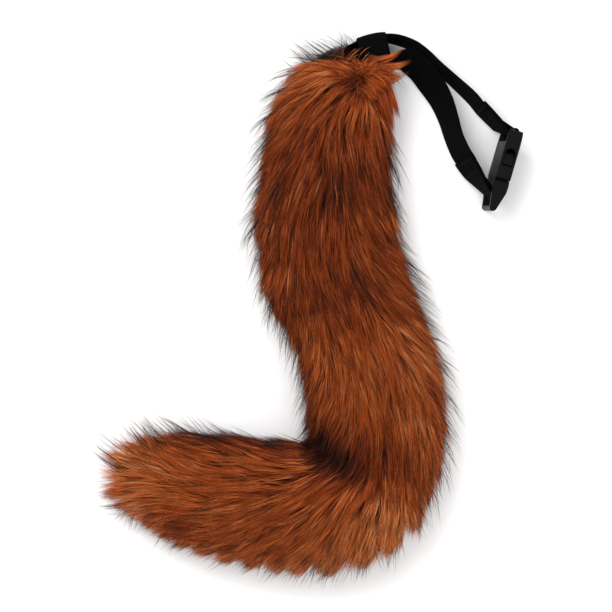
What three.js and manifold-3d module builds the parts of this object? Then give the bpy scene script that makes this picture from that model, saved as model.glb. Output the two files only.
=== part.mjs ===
// Costume animal tail: a stuffed faux-fur tail on a black webbing belt with a side-release buckle.
// It lies on its side on a flat surface at z = 0, seen from straight above, with +X to the right,
// +Y up the view and +Z up from the surface. Sizes are in millimetres and angles in degrees.

import * as THREE from "three";
import { mergeVertices } from "three/addons/utils/BufferGeometryUtils.js";
import Module from "manifold-3d";

const wasm = await Module();
wasm.setup();

// Clearances
const GAP = 0.3; // between two pieces that touch
const EYE_GAP = 0.4; // between a buckle's bar and the webbing round it
const WELD = 0.001; // vertices nearer than this are one
const CUT_OVER = 1; // how far a cut runs past the face that it opens
const EDGE_FLAT = 0.2; // what stays straight between the two corners of a rounded edge
const FINE_STEPS = 6; // in each arc of a shape whose roundness shows

// Tail
const TAIL_LENGTH = 580; // along its curve, from the root seam to the last hairs
const BODY_WIDTH = 112; // over the fur, where it is fullest
const BODY_HEIGHT = 72; // over the fur, as it lies
const PILE = 13; // depth of the fur over the stuffed backing
const PRESSED = 3; // how far the underside is flattened by its weight
const ROOT_ROUND = 26; // length of the rounded root end
const TIP_ROUND = 48; // length of the rounded tip end
const BACKING_RINGS = 40;
const BACKING_SIDES = 16;

// Locks of fur
const LOCK_LENGTH = 58;
const LOCK_WIDTH = 30;
const LOCK_DEPTH = 10;
const LOCK_SINK = 4; // how deep a lock is rooted in the backing
const LOCK_SWELL = 2; // how much fuller than a cone a lock is towards its middle
const LOCK_ROWS = 21;
const ROW_BEFORE = 0.6; // rows' spacings from the root end to the first row
const ROW_AFTER = 0.8; // and from the last row to the tip
const LOCKS_AROUND = 8; // in a row round the full body
const FEWEST_AROUND = 5;
const LOCK_SIDES = 5;
const LOCK_STEPS = 2;
const LOCK_SWAY = 0.12; // how far a lock strays round the body from its even place, in radians
const SIZE_MIDDLE = 0.94; // a lock's length as a share of LOCK_LENGTH, give or take the spread
const SIZE_SPREAD = 0.14;
const BARE_BELOW = -0.75; // no locks where the turn's sine is less: the tail lies on that side
const FOLD_LIMIT = 0.72; // how near the middle of a bend a lock may reach, as a share of its radius
const TIP_FROM = 0.8; // share of the spine from which the locks shorten towards the tip
const TIP_LOCKS = 0.5; // length of the locks at the very tip, as a share of the others
const FUR_FINENESS = 0.3; // detail smaller than this is smoothed away
const CROWN_WIDTH = 17; // of a lock that spreads from the hair whorl at the root
const CROWN_DEPTH = 8;
const CROWN_ARCH = 4.5; // how far the middle of one rises over a straight line
const CROWN_DROOP = 12; // how far the longest of them hangs below the whorl

// Webbing
const WEB_WIDTH = 30;
const WEB_THICKNESS = 1.6;
const HEM_LENGTH = 26; // doubled and sewn beside each buckle bar
const BELT_REACH = 150; // from the root seam to the buckle's middle
const BELT_STEPS = 84;
const LOOP_WIDTH = 24; // of the belt loop that is sewn to the root
const LOOP_WALL = 1.3;
const LOOP_EASE = 2.6; // room for the strands' curve inside the belt loop
const LOOP_ROUND = 4;

// Buckle, with x along it towards the socket's bar, y through its thickness and z across its width
const BUCKLE_LENGTH = 68;
const PLUG_LENGTH = 27; // what shows of the plug
const BUCKLE_THICKNESS = 12;
const BUCKLE_LEAN = 7;
const BUCKLE_HEADING = 73.8; // of its length, counter-clockwise from +X
const CHEEK = 3.7; // wall beside a strap slot
const SLOT_SIDE_GAP = 1.3; // between the webbing's edge and that wall
const BAR_WIDTH = 4.5;
const BAR_THICKNESS = 3.4;
const SLOT_LENGTH = 6;
const SOCKET_WALL = 1.8;
const SOCKET_TAPER = 16; // length over which the socket thins towards its bar
const SOCKET_END_THICKNESS = 10.6;
const SOCKET_END_WALL = 4; // between the socket's hollow and its strap slot
const CORNER = 3.5;
const WINDOW_LENGTH = 14.5; // where a prong's button shows at the side
const WINDOW_END_WALL = 2.6; // between the window and the end of the hollow
const BUTTON_LENGTH = 11.5;
const BUTTON_EASE = 0.5; // between the button's foot and the window's near end
const BUTTON_INSIDE = 0.6; // how far a button stays inside the socket's side
const BUTTON_ROUND = 1; // at its free end
const BUTTON_SLOPE = 1; // length of the curve from its foot to its top
const PRONG_WIDTH = 4.2;
const PRONG_EASE = 0.8; // between a prong's outer side and the side of the hollow
const ROOTED = 1; // how far a prong or the guide starts inside the plug's base
const GUIDE_WIDTH = 6;
const GUIDE_LENGTH = 17;
const PLUG_LIP = 4; // the plug's end beyond its second slot
const PLUG_LIP_THICKNESS = 5;
const PLUG_LIP_SIDE = 1.2; // how far the lip's middle lies to the left of the plug's
const PLUG_SHOULDER = 9; // length over which the plug keeps its full thickness
const SHOULDER_ROUND = 1.5;
const SHOULDER_RELIEF = 0.4; // how far the plug's right side steps in behind its shoulder
const PLUG_STEP = 0.8; // how much narrower the plug is than the socket on each side

// The tail's sections from root to tip: x and y as shares of TAIL_LENGTH from the root seam,
// wide and high as shares of BODY_WIDTH and BODY_HEIGHT.
const SECTIONS = [
  { x: 0.0, y: 0.002, wide: 0.54, high: 0.8 },
  { x: -0.03, y: -0.034, wide: 0.8, high: 0.9 },
  { x: -0.049, y: -0.073, wide: 0.92, high: 0.98 },
  { x: -0.054, y: -0.125, wide: 0.96, high: 1.0 },
  { x: -0.058, y: -0.18, wide: 0.98, high: 1.0 },
  { x: -0.056, y: -0.238, wide: 0.98, high: 1.0 },
  { x: -0.04, y: -0.299, wide: 0.98, high: 1.0 },
  { x: -0.014, y: -0.357, wide: 0.95, high: 1.0 },
  { x: 0.004, y: -0.412, wide: 0.99, high: 1.0 },
  { x: 0.011, y: -0.468, wide: 1.0, high: 1.0 },
  { x: 0.008, y: -0.518, wide: 1.02, high: 1.0 },
  { x: -0.011, y: -0.566, wide: 1.04, high: 1.0 },
  { x: -0.05, y: -0.594, wide: 1.03, high: 1.0 },
  { x: -0.102, y: -0.598, wide: 1.0, high: 0.98 },
  { x: -0.163, y: -0.593, wide: 0.98, high: 0.94 },
  { x: -0.225, y: -0.582, wide: 0.9, high: 0.86 },
  { x: -0.285, y: -0.573, wide: 0.76, high: 0.76 },
  { x: -0.336, y: -0.567, wide: 0.6, high: 0.62 },
];

// Locks that spread from the whorl at the root, over the belt loop and the shoulders: heading in
// degrees counter-clockwise from +X, start and reach as shares of LOCK_LENGTH, droop of CROWN_DROOP.
const CROWN = [
  { heading: 212, start: 0.5, reach: 0.92, droop: 0.9 },
  { heading: 196, start: 0.5, reach: 1.0, droop: 0.9 },
  { heading: 181, start: 0.4, reach: 1.04, droop: 0.9 },
  { heading: 167, start: 0.28, reach: 0.98, droop: 0.7 },
  { heading: 150, start: 0.1, reach: 0.74, droop: 0.4 },
  { heading: 132, start: 0.0, reach: 0.56, droop: 0.1 },
  { heading: 112, start: -0.05, reach: 0.44, droop: 0.0 },
  { heading: 90, start: -0.08, reach: 0.42, droop: 0.0 },
  { heading: 64, start: -0.05, reach: 0.44, droop: 0.1 },
  { heading: 38, start: 0.0, reach: 0.46, droop: 0.2 },
  { heading: 10, start: 0.06, reach: 0.6, droop: 0.3 },
  { heading: -24, start: 0.02, reach: 0.36, droop: 0.8 },
];
const WHORL = { x: 0.004, y: -0.012 }; // as shares of TAIL_LENGTH from the root seam

// The belt's way from the socket's bar over the arch, round behind the root and back to the plug's
// bar: x and y as shares of BELT_REACH from the root seam, lean in degrees to the right of the way,
// and rise from the surface, at 0, to the buckle's middle, at 1. The belt loop holds its outer and
// its inner strand at the rows that say so.
const BELT = [
  { x: 0.717, y: -0.303, lean: 12, rise: 0.93 },
  { x: 0.63, y: -0.211, lean: 15, rise: 0.5 },
  { x: 0.548, y: -0.123, lean: 15, rise: 0.18 },
  { x: 0.463, y: -0.044, lean: 13, rise: 0.04 },
  { x: 0.373, y: 0.037, lean: 12, rise: 0 },
  { x: 0.315, y: 0.093, lean: 12, rise: 0 },
  { x: 0.251, y: 0.141, lean: 12, rise: 0 },
  { x: 0.165, y: 0.175, lean: 11, rise: 0 },
  { x: 0.091, y: 0.184, lean: 8, rise: 0 },
  { x: 0.021, y: 0.174, lean: 6, rise: 0, loop: "outer" },
  { x: -0.078, y: 0.14, lean: 4, rise: 0 },
  { x: -0.165, y: 0.096, lean: 1, rise: 0 },
  { x: -0.211, y: 0.07, lean: 0, rise: 0 },
  { x: -0.225, y: 0.05, lean: 0, rise: 0 },
  { x: -0.205, y: 0.032, lean: 0, rise: 0 },
  { x: -0.15, y: 0.026, lean: 0, rise: 0 },
  { x: -0.07, y: 0.026, lean: -2, rise: 0 },
  { x: 0.053, y: 0.032, lean: -5, rise: 0, loop: "inner" },
  { x: 0.128, y: 0.049, lean: -11, rise: 0 },
  { x: 0.192, y: 0.066, lean: -32, rise: 0 },
  { x: 0.264, y: 0.037, lean: -41, rise: 0 },
  { x: 0.338, y: -0.053, lean: -41, rise: 0 },
  { x: 0.397, y: -0.149, lean: -35, rise: 0 },
  { x: 0.438, y: -0.256, lean: -29, rise: 0 },
  { x: 0.463, y: -0.341, lean: -27, rise: 0.03 },
  { x: 0.51, y: -0.448, lean: -28, rise: 0.15 },
  { x: 0.562, y: -0.533, lean: -24, rise: 0.5 },
  { x: 0.617, y: -0.605, lean: -12, rise: 0.93 },
];
const BUCKLE_MIDDLE = { x: 0.716, y: -0.531 }; // as shares of BELT_REACH from the root seam

// Worked-out sizes
const STRAP_ROOM = WEB_WIDTH + 2 * SLOT_SIDE_GAP;
const BUCKLE_WIDTH = STRAP_ROOM + 2 * CHEEK;
const SOCKET_LENGTH = BUCKLE_LENGTH - PLUG_LENGTH;
const MOUTH = BUCKLE_LENGTH / 2 - SOCKET_LENGTH; // the socket's open end along x
const HOLLOW_HEIGHT = BUCKLE_THICKNESS - 2 * SOCKET_WALL;
const HOLLOW_WIDTH = BUCKLE_WIDTH - 4 * SOCKET_WALL;
const HOLLOW_END = BUCKLE_LENGTH / 2 - BAR_WIDTH - SLOT_LENGTH - SOCKET_END_WALL;
const WINDOW_END = HOLLOW_END - WINDOW_END_WALL + SOCKET_WALL;
const BUCKLE_MID_HEIGHT =
  (Math.cos(radians(BUCKLE_LEAN)) * BUCKLE_WIDTH + Math.sin(radians(BUCKLE_LEAN)) * BUCKLE_THICKNESS) / 2;
const BELT_FLOOR = LOOP_WALL + GAP; // the belt stands on the belt loop's lower wall
const BIG = 4 * TAIL_LENGTH;
const UP = new THREE.Vector3(0, 0, 1);

const FUR = new THREE.MeshStandardMaterial({ color: 0x97461f, roughness: 0.85, metalness: 0 });
const WEBBING = new THREE.MeshStandardMaterial({ color: 0x101012, roughness: 0.8, metalness: 0 });
const PLASTIC = new THREE.MeshStandardMaterial({ color: 0x232427, roughness: 0.5, metalness: 0 });

/** Degrees in radians. */
function radians(degrees) {
  return THREE.MathUtils.degToRad(degrees);
}

/** A closed three.js geometry as a solid that can be cut and joined. */
function toSolid(geometry) {
  const bare = geometry.clone();
  bare.deleteAttribute("normal");
  bare.deleteAttribute("uv");
  const merged = mergeVertices(bare, WELD);
  return new wasm.Manifold(
    new wasm.Mesh({
      numProp: 3,
      vertProperties: new Float32Array(merged.attributes.position.array),
      triVerts: new Uint32Array(merged.index.array),
    }),
  );
}

/** A solid as a three.js geometry. */
function toGeometry(solid) {
  const made = solid.getMesh();
  const geometry = new THREE.BufferGeometry();
  geometry.setAttribute("position", new THREE.BufferAttribute(new Float32Array(made.vertProperties), 3));
  geometry.setIndex(new THREE.BufferAttribute(new Uint32Array(made.triVerts), 1));
  geometry.computeVertexNormals();
  return geometry;
}

/** A solid as a named mesh. */
function toMesh(name, solid, material) {
  const mesh = new THREE.Mesh(toGeometry(solid), material);
  mesh.name = name;
  return mesh;
}

/** The largest body of a solid, without loose crumbs or sealed pockets. */
function largestBody(solid) {
  const bodies = toSolid(toGeometry(solid)).decompose();
  return bodies.reduce((best, body) => (body.volume() > best.volume() ? body : best));
}

/** Moves every vertex of a geometry to where place(vertex) puts it. */
function bend(geometry, place) {
  const positions = geometry.attributes.position;
  const vertex = new THREE.Vector3();
  for (let i = 0; i < positions.count; i++) {
    const moved = place(vertex.fromBufferAttribute(positions, i));
    positions.setXYZ(i, moved.x, moved.y, moved.z);
  }
  return geometry;
}

/** A smooth curve through one point for each row of a table. */
function tableCurve(rows, toPoint) {
  return new THREE.CatmullRomCurve3(rows.map(toPoint), false, "centripetal");
}

/** A box between two corners as a solid. */
function block(low, high) {
  const size = new THREE.Vector3().subVectors(high, low);
  const middle = new THREE.Vector3().addVectors(low, high).multiplyScalar(0.5);
  const box = new THREE.BoxGeometry(size.x, size.y, size.z);
  return toSolid(box.translate(middle.x, middle.y, middle.z));
}

/** A rectangle with round corners as a path for a shape or a hole. */
function roundedRectangle(PathType, left, right, bottom, top, radius) {
  const path = new PathType();
  path.absarc(right - radius, bottom + radius, radius, -Math.PI / 2, 0, false);
  path.absarc(right - radius, top - radius, radius, 0, Math.PI / 2, false);
  path.absarc(left + radius, top - radius, radius, Math.PI / 2, Math.PI, false);
  path.absarc(left + radius, bottom + radius, radius, Math.PI, 1.5 * Math.PI, false);
  path.closePath();
  return path;
}

/** A rectangle from start to end, half round at its end, as a shape. */
function arch(start, end, halfHeight) {
  const shape = new THREE.Shape();
  shape.moveTo(start, -halfHeight);
  shape.lineTo(end - halfHeight, -halfHeight);
  shape.absarc(end - halfHeight, 0, halfHeight, -Math.PI / 2, Math.PI / 2, false);
  shape.lineTo(start, halfHeight);
  shape.closePath();
  return shape;
}

/** A shape extruded along z, centred on z = 0. */
function slab(shape, depth, curveSegments = 4) {
  const geometry = new THREE.ExtrudeGeometry(shape, { depth, bevelEnabled: false, curveSegments });
  return geometry.translate(0, 0, -depth / 2);
}

const spine = tableCurve(SECTIONS, (row) =>
  new THREE.Vector3(row.x, row.y, 0).multiplyScalar(TAIL_LENGTH),
);
const girth = tableCurve(SECTIONS, (row) =>
  new THREE.Vector3((row.wide * BODY_WIDTH) / 2, (row.high * BODY_HEIGHT) / 2, 0),
);
const spineLength = spine.getLength();

/** The backing's section at a share of the spine, carried on straight past either end. */
function section(along) {
  const share = THREE.MathUtils.clamp(along, 0, 1);
  const ahead = spine.getTangent(share);
  const centre = spine.getPoint(share).addScaledVector(ahead, (along - share) * spineLength);
  const fur = girth.getPoint(share);
  const rootShare = Math.min((share * spineLength) / ROOT_ROUND, 1);
  const tipShare = Math.min(((1 - share) * spineLength) / TIP_ROUND, 1);
  const round = Math.sqrt(1 - (1 - rootShare) ** 2) * Math.sqrt(1 - (1 - tipShare) ** 2);
  const halfHeight = fur.y + (PRESSED - PILE) / 2;
  centre.z = halfHeight - PRESSED;
  return {
    centre,
    left: new THREE.Vector3().crossVectors(UP, ahead),
    halfWidth: (fur.x - PILE) * round,
    halfHeight: halfHeight * round,
  };
}

/** A point at a turn round the section, out from the backing's surface by a distance. */
function furPoint(along, turn, out) {
  const { centre, left, halfWidth, halfHeight } = section(along);
  return centre
    .addScaledVector(left, Math.cos(turn) * (halfWidth + out))
    .addScaledVector(UP, Math.sin(turn) * (halfHeight + out));
}

/** The stuffed tube under the fur. */
function backing() {
  const ball = new THREE.SphereGeometry(1, BACKING_SIDES, BACKING_RINGS);
  return toSolid(bend(ball, (v) => furPoint((1 - v.y) / 2, Math.atan2(v.z, v.x), 0)));
}

/** The cone that a lock is bent from: its tip at y = 1, its base at y = 0, full in the middle. */
function lockCone() {
  const cone = new THREE.ConeGeometry(1, 1, LOCK_SIDES, LOCK_STEPS).translate(0, 0.5, 0);
  return bend(cone, (v) => {
    const fullness = 1 + LOCK_SWELL * v.y * (1 - v.y);
    return v.set(v.x * fullness, v.y, v.z * fullness);
  });
}

/** A lock that follows the body from a share of the spine, at a turn round it. */
function bodyLock(along, turn, size) {
  const { halfWidth, halfHeight } = section(along);
  const radius = Math.max((halfWidth + halfHeight) / 2, LOCK_WIDTH / 2);
  return toSolid(
    bend(lockCone(), (v) => {
      const reach = (v.y * LOCK_LENGTH * size) / spineLength;
      const across = (v.x * LOCK_WIDTH * size) / 2 / radius;
      const out = (PILE + LOCK_SINK) * v.y - LOCK_SINK + (v.z * LOCK_DEPTH) / 2;
      return furPoint(along + reach, turn + across, out);
    }),
  );
}

/** A lock that spreads from the whorl at the root. */
function crownLock({ heading, start, reach, droop }) {
  const ahead = new THREE.Vector3(Math.cos(radians(heading)), Math.sin(radians(heading)), 0);
  const across = new THREE.Vector3().crossVectors(ahead, UP);
  const whorl = new THREE.Vector3(WHORL.x, WHORL.y, 0).multiplyScalar(TAIL_LENGTH);
  const { centre, halfHeight } = section(ROOT_ROUND / spineLength);
  whorl.z = centre.z + halfHeight - LOCK_SINK;
  return toSolid(
    bend(lockCone(), (v) => {
      const hang = CROWN_DROOP * droop * v.y ** 2 - CROWN_ARCH * Math.sin(Math.PI * v.y);
      return whorl
        .clone()
        .addScaledVector(ahead, LOCK_LENGTH * (start + reach * v.y))
        .addScaledVector(across, (v.x * CROWN_WIDTH) / 2)
        .addScaledVector(UP, (v.z * CROWN_DEPTH) / 2 - hang);
    }),
  );
}

/** Whether a lock on the inside of a bend would reach so near the bend's middle that it folds. */
function wouldFold(along, turn) {
  const step = LOCK_LENGTH / 2 / spineLength;
  return [0, 1, 2].some((k) => {
    const from = section(along + (k - 0.5) * step);
    const to = section(along + (k + 0.5) * step);
    const turning = from.left.clone().cross(to.left).z / from.centre.distanceTo(to.centre);
    return turning * Math.cos(turn) * (from.halfWidth + PILE) > FOLD_LIMIT;
  });
}

/** Every lock of the body, in rows that are set half a step round from each other. */
function bodyLocks() {
  const locks = [];
  for (let row = 0; row < LOCK_ROWS; row++) {
    const along = (row + ROW_BEFORE) / (LOCK_ROWS - 1 + ROW_BEFORE + ROW_AFTER);
    const fullness = (girth.getPoint(along).x * 2) / BODY_WIDTH;
    const nearTip = THREE.MathUtils.smoothstep(along, TIP_FROM, 1);
    const length = THREE.MathUtils.lerp(1, TIP_LOCKS, nearTip);
    const count = Math.max(FEWEST_AROUND, Math.round(LOCKS_AROUND * fullness));
    for (let k = 0; k < count; k++) {
      const evenTurn = (2 * Math.PI * (k + (row % 2) / 2)) / count;
      const turn = evenTurn + LOCK_SWAY * Math.sin(5 * row + 3 * k);
      const size = length * (SIZE_MIDDLE + SIZE_SPREAD * Math.sin(7 * row + 11 * k));
      if (Math.sin(turn) > BARE_BELOW && !wouldFold(along, turn)) {
        locks.push(bodyLock(along, turn, size));
      }
    }
  }
  return locks;
}

const belt = tableCurve(BELT, (row) => new THREE.Vector3(row.x, row.y, 0).multiplyScalar(BELT_REACH));
const beltTurn = tableCurve(BELT, (row) => new THREE.Vector3(row.lean, row.rise, 0));

/** The belt's frame at a share of its table: its middle, its way, its left side and its width's rise. */
function beltFrame(share) {
  const ahead = belt.getTangent(share);
  const turn = beltTurn.getPoint(share);
  const lean = radians(turn.x);
  const right = new THREE.Vector3().crossVectors(ahead, UP);
  const across = UP.clone().multiplyScalar(Math.cos(lean)).addScaledVector(right, Math.sin(lean));
  const standing = (Math.cos(lean) * WEB_WIDTH + Math.abs(Math.sin(lean)) * WEB_THICKNESS) / 2;
  const middle = belt.getPoint(share);
  middle.z = THREE.MathUtils.lerp(BELT_FLOOR + standing, BUCKLE_MID_HEIGHT, turn.y);
  return { middle, ahead, across, left: new THREE.Vector3().crossVectors(across, ahead) };
}

const buckle = new THREE.Group();
buckle.position.set(BUCKLE_MIDDLE.x * BELT_REACH, BUCKLE_MIDDLE.y * BELT_REACH, BUCKLE_MID_HEIGHT);
buckle.rotation.set(radians(BUCKLE_LEAN), 0, radians(BUCKLE_HEADING), "ZYX");
buckle.updateMatrixWorld(true);
const SOCKET_BAR = BUCKLE_LENGTH / 2 - BAR_WIDTH / 2;
const PLUG_BAR = PLUG_LIP + SLOT_LENGTH + (BAR_WIDTH - BUCKLE_LENGTH) / 2;

/** The frames of the belt from bar to bar: the eye's wall, the table's rows and the other eye's. */
function beltFrames() {
  const frames = [];
  for (let step = 0; step <= BELT_STEPS; step++) {
    frames.push(beltFrame(step / BELT_STEPS));
  }
  const basis = new THREE.Matrix4().extractRotation(buckle.matrixWorld);
  const across = new THREE.Vector3(0, 0, 1).applyMatrix4(basis);
  const eyeReach = BAR_THICKNESS / 2 + EYE_GAP + WEB_THICKNESS / 2;
  const atBar = (bar, next, forward) => {
    const middle = new THREE.Vector3(bar, 0, 0).applyMatrix4(buckle.matrixWorld);
    const away = new THREE.Vector3().subVectors(next.middle, middle).normalize();
    const ahead = away.clone().multiplyScalar(forward);
    middle.addScaledVector(away, eyeReach);
    return { middle, ahead, across, left: new THREE.Vector3().crossVectors(across, ahead).normalize() };
  };
  frames.unshift(atBar(SOCKET_BAR, frames[0], 1));
  frames.push(atBar(PLUG_BAR, frames[frames.length - 1], -1));
  return frames;
}

/** The belt's band, thicker where it is hemmed beside the bars, grown all round by a distance. */
function beltBand(grow) {
  const frames = beltFrames();
  const lengths = [0];
  for (let i = 1; i < frames.length; i++) {
    lengths.push(lengths[i - 1] + frames[i].middle.distanceTo(frames[i - 1].middle));
  }
  const total = lengths[lengths.length - 1];
  const band = new THREE.BoxGeometry(1, 1, 1, frames.length - 1, 1, 1);
  return toSolid(
    bend(band, (v) => {
      const index = Math.round((v.x + 0.5) * (frames.length - 1));
      const { middle, left, across } = frames[index];
      const fromEnd = Math.min(lengths[index], total - lengths[index]);
      const plies = fromEnd < HEM_LENGTH ? 2 : 1;
      return middle
        .clone()
        .addScaledVector(left, v.y * (plies * WEB_THICKNESS + 2 * grow))
        .addScaledVector(across, v.z * (WEB_WIDTH + 2 * grow));
    }),
  );
}

/** The webbing's eye round a buckle bar, in place. */
function beltEye(bar) {
  const insideX = BAR_WIDTH / 2 + EYE_GAP;
  const insideY = BAR_THICKNESS / 2 + EYE_GAP;
  const outsideX = insideX + WEB_THICKNESS;
  const outsideY = insideY + WEB_THICKNESS;
  const outside = [-outsideX, outsideX, -outsideY, outsideY, outsideY - EDGE_FLAT];
  const inside = [-insideX, insideX, -insideY, insideY, insideY - EDGE_FLAT];
  const ring = roundedRectangle(THREE.Shape, ...outside);
  ring.holes.push(roundedRectangle(THREE.Path, ...inside));
  const geometry = slab(ring, WEB_WIDTH).translate(bar, 0, 0);
  return toSolid(geometry.applyMatrix4(buckle.matrixWorld));
}

/** The waist strap: one length of webbing with an eye round each buckle bar. */
function waistStrap() {
  return wasm.Manifold.union([beltBand(0), beltEye(SOCKET_BAR), beltEye(PLUG_BAR)]);
}

/** The lean and the frame of the strand that the belt loop holds at the row marked with a name. */
function strandInLoop(name) {
  const index = BELT.findIndex((row) => row.loop === name);
  return { lean: BELT[index].lean, ...beltFrame(index / (BELT.length - 1)) };
}

const outerStrand = strandInLoop("outer");
const innerStrand = strandInLoop("inner");

/** The belt loop, or with solid set the whole block that it takes up, grown all round by a distance. */
function beltLoop(grow, solid) {
  const outward = new THREE.Vector3().subVectors(outerStrand.middle, innerStrand.middle).setZ(0);
  const lean = Math.max(Math.abs(outerStrand.lean), Math.abs(innerStrand.lean));
  const halfRoom = (WEB_THICKNESS + WEB_WIDTH * Math.sin(radians(lean))) / 2 + LOOP_EASE;
  const inside = { length: outward.length() + 2 * halfRoom, height: WEB_WIDTH + 3 * GAP };
  const halfLength = inside.length / 2 + LOOP_WALL + grow;
  const height = inside.height + 2 * LOOP_WALL;
  const outside = [-halfLength, halfLength, -grow, height + grow];
  const shape = roundedRectangle(THREE.Shape, ...outside, LOOP_ROUND + grow);
  if (!solid) {
    const hole = [-inside.length / 2, inside.length / 2, LOOP_WALL, height - LOOP_WALL];
    shape.holes.push(roundedRectangle(THREE.Path, ...hole, LOOP_ROUND - LOOP_WALL));
  }
  const ahead = outward.normalize();
  const basis = new THREE.Matrix4().makeBasis(ahead, UP, new THREE.Vector3().crossVectors(ahead, UP));
  const middle = new THREE.Vector3().addVectors(outerStrand.middle, innerStrand.middle).multiplyScalar(0.5);
  basis.setPosition(middle.x, middle.y, 0);
  return toSolid(slab(shape, LOOP_WIDTH + 2 * grow, FINE_STEPS).applyMatrix4(basis));
}

/** The fur: its backing and all its locks, trimmed where it lies and clear of the belt. */
function furTail() {
  const grown = wasm.Manifold.union([backing(), ...bodyLocks(), ...CROWN.map(crownLock)]);
  const belowFloor = block(new THREE.Vector3(-BIG, -BIG, -BIG), new THREE.Vector3(BIG, BIG, 0));
  const trimmed = grown.subtract(belowFloor).subtract(beltBand(GAP)).subtract(beltLoop(GAP, true));
  return largestBody(trimmed.simplify(FUR_FINENESS));
}

/** A slab with round corners as the buckle shows them at its face, from x0 to x1 along it. */
function faceBlock(x0, x1, halfWidth, thickness) {
  const shape = roundedRectangle(THREE.Shape, x0, x1, -halfWidth, halfWidth, CORNER);
  return toSolid(slab(shape, thickness).rotateX(Math.PI / 2));
}

/** A block in the buckle's own frame, symmetric about its thickness and its width. */
function innerBlock(x0, x1, thickness, width) {
  const half = new THREE.Vector3(0, thickness / 2, width / 2);
  return block(new THREE.Vector3(x0, -half.y, -half.z), new THREE.Vector3(x1, half.y, half.z));
}

/** Takes a strap slot out of a solid. */
function cutSlot(solid, x0, x1) {
  return solid.subtract(innerBlock(x0, x1, BIG, STRAP_ROOM));
}

/** A bar with round edges that the webbing goes round. */
function bar(x) {
  const half = { x: BAR_WIDTH / 2, y: BAR_THICKNESS / 2 };
  const edges = [x - half.x, x + half.x, -half.y, half.y];
  const round = roundedRectangle(THREE.Shape, ...edges, half.y - EDGE_FLAT);
  return toSolid(slab(round, STRAP_ROOM + CHEEK));
}

/** The socket: a flat hollow body, open at its mouth and at both sides, with a bar at its end. */
function socket() {
  const end = BUCKLE_LENGTH / 2;
  const taperMiddle = end - SOCKET_TAPER / 3;
  const outline = faceBlock(MOUTH, end, BUCKLE_WIDTH / 2, BUCKLE_THICKNESS);
  const profile = new THREE.Shape();
  profile.moveTo(MOUTH, -BUCKLE_THICKNESS / 2);
  profile.lineTo(end - SOCKET_TAPER, -BUCKLE_THICKNESS / 2);
  profile.quadraticCurveTo(taperMiddle, -BUCKLE_THICKNESS / 2, end, -SOCKET_END_THICKNESS / 2);
  profile.lineTo(end, SOCKET_END_THICKNESS / 2);
  profile.quadraticCurveTo(taperMiddle, BUCKLE_THICKNESS / 2, end - SOCKET_TAPER, BUCKLE_THICKNESS / 2);
  profile.lineTo(MOUTH, BUCKLE_THICKNESS / 2);
  profile.closePath();
  const body = outline.intersect(toSolid(slab(profile, BUCKLE_WIDTH)));
  const hollow = innerBlock(MOUTH - CUT_OVER, HOLLOW_END, HOLLOW_HEIGHT, HOLLOW_WIDTH);
  const window = arch(WINDOW_END - WINDOW_LENGTH, WINDOW_END, HOLLOW_HEIGHT / 2);
  const sides = toSolid(slab(window, BUCKLE_WIDTH + 2 * CUT_OVER, FINE_STEPS));
  const open = body.subtract(hollow).subtract(sides);
  return cutSlot(open, end - BAR_WIDTH - SLOT_LENGTH, end + CUT_OVER).add(bar(SOCKET_BAR));
}

/** One prong and its button, on the side where side is 1 or -1. */
function prong(side) {
  const outer = HOLLOW_WIDTH / 2 - PRONG_EASE;
  const inner = outer - PRONG_WIDTH;
  const top = BUCKLE_WIDTH / 2 - BUTTON_INSIDE;
  const foot = WINDOW_END - WINDOW_LENGTH + BUTTON_EASE;
  const tip = foot + BUTTON_LENGTH;
  const shape = new THREE.Shape();
  shape.moveTo(MOUTH - ROOTED, inner);
  shape.lineTo(tip - PRONG_WIDTH, inner);
  shape.quadraticCurveTo(tip, inner, tip, outer - BUTTON_ROUND);
  shape.quadraticCurveTo(tip - BUTTON_ROUND, top, tip - BUTTON_LENGTH / 2, top);
  shape.lineTo(foot + BUTTON_SLOPE, top);
  shape.quadraticCurveTo(foot, top, foot, outer);
  shape.lineTo(MOUTH - ROOTED, outer);
  shape.closePath();
  const flat = slab(shape, HOLLOW_HEIGHT - 2 * GAP).rotateX(Math.PI / 2);
  const roundEnded = arch(MOUTH - 2 * ROOTED, tip, HOLLOW_HEIGHT / 2 - GAP);
  const rounded = slab(roundEnded, BUCKLE_WIDTH, FINE_STEPS);
  const arm = toSolid(flat).intersect(toSolid(rounded));
  return side > 0 ? arm : arm.mirror([0, 0, 1]);
}

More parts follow.
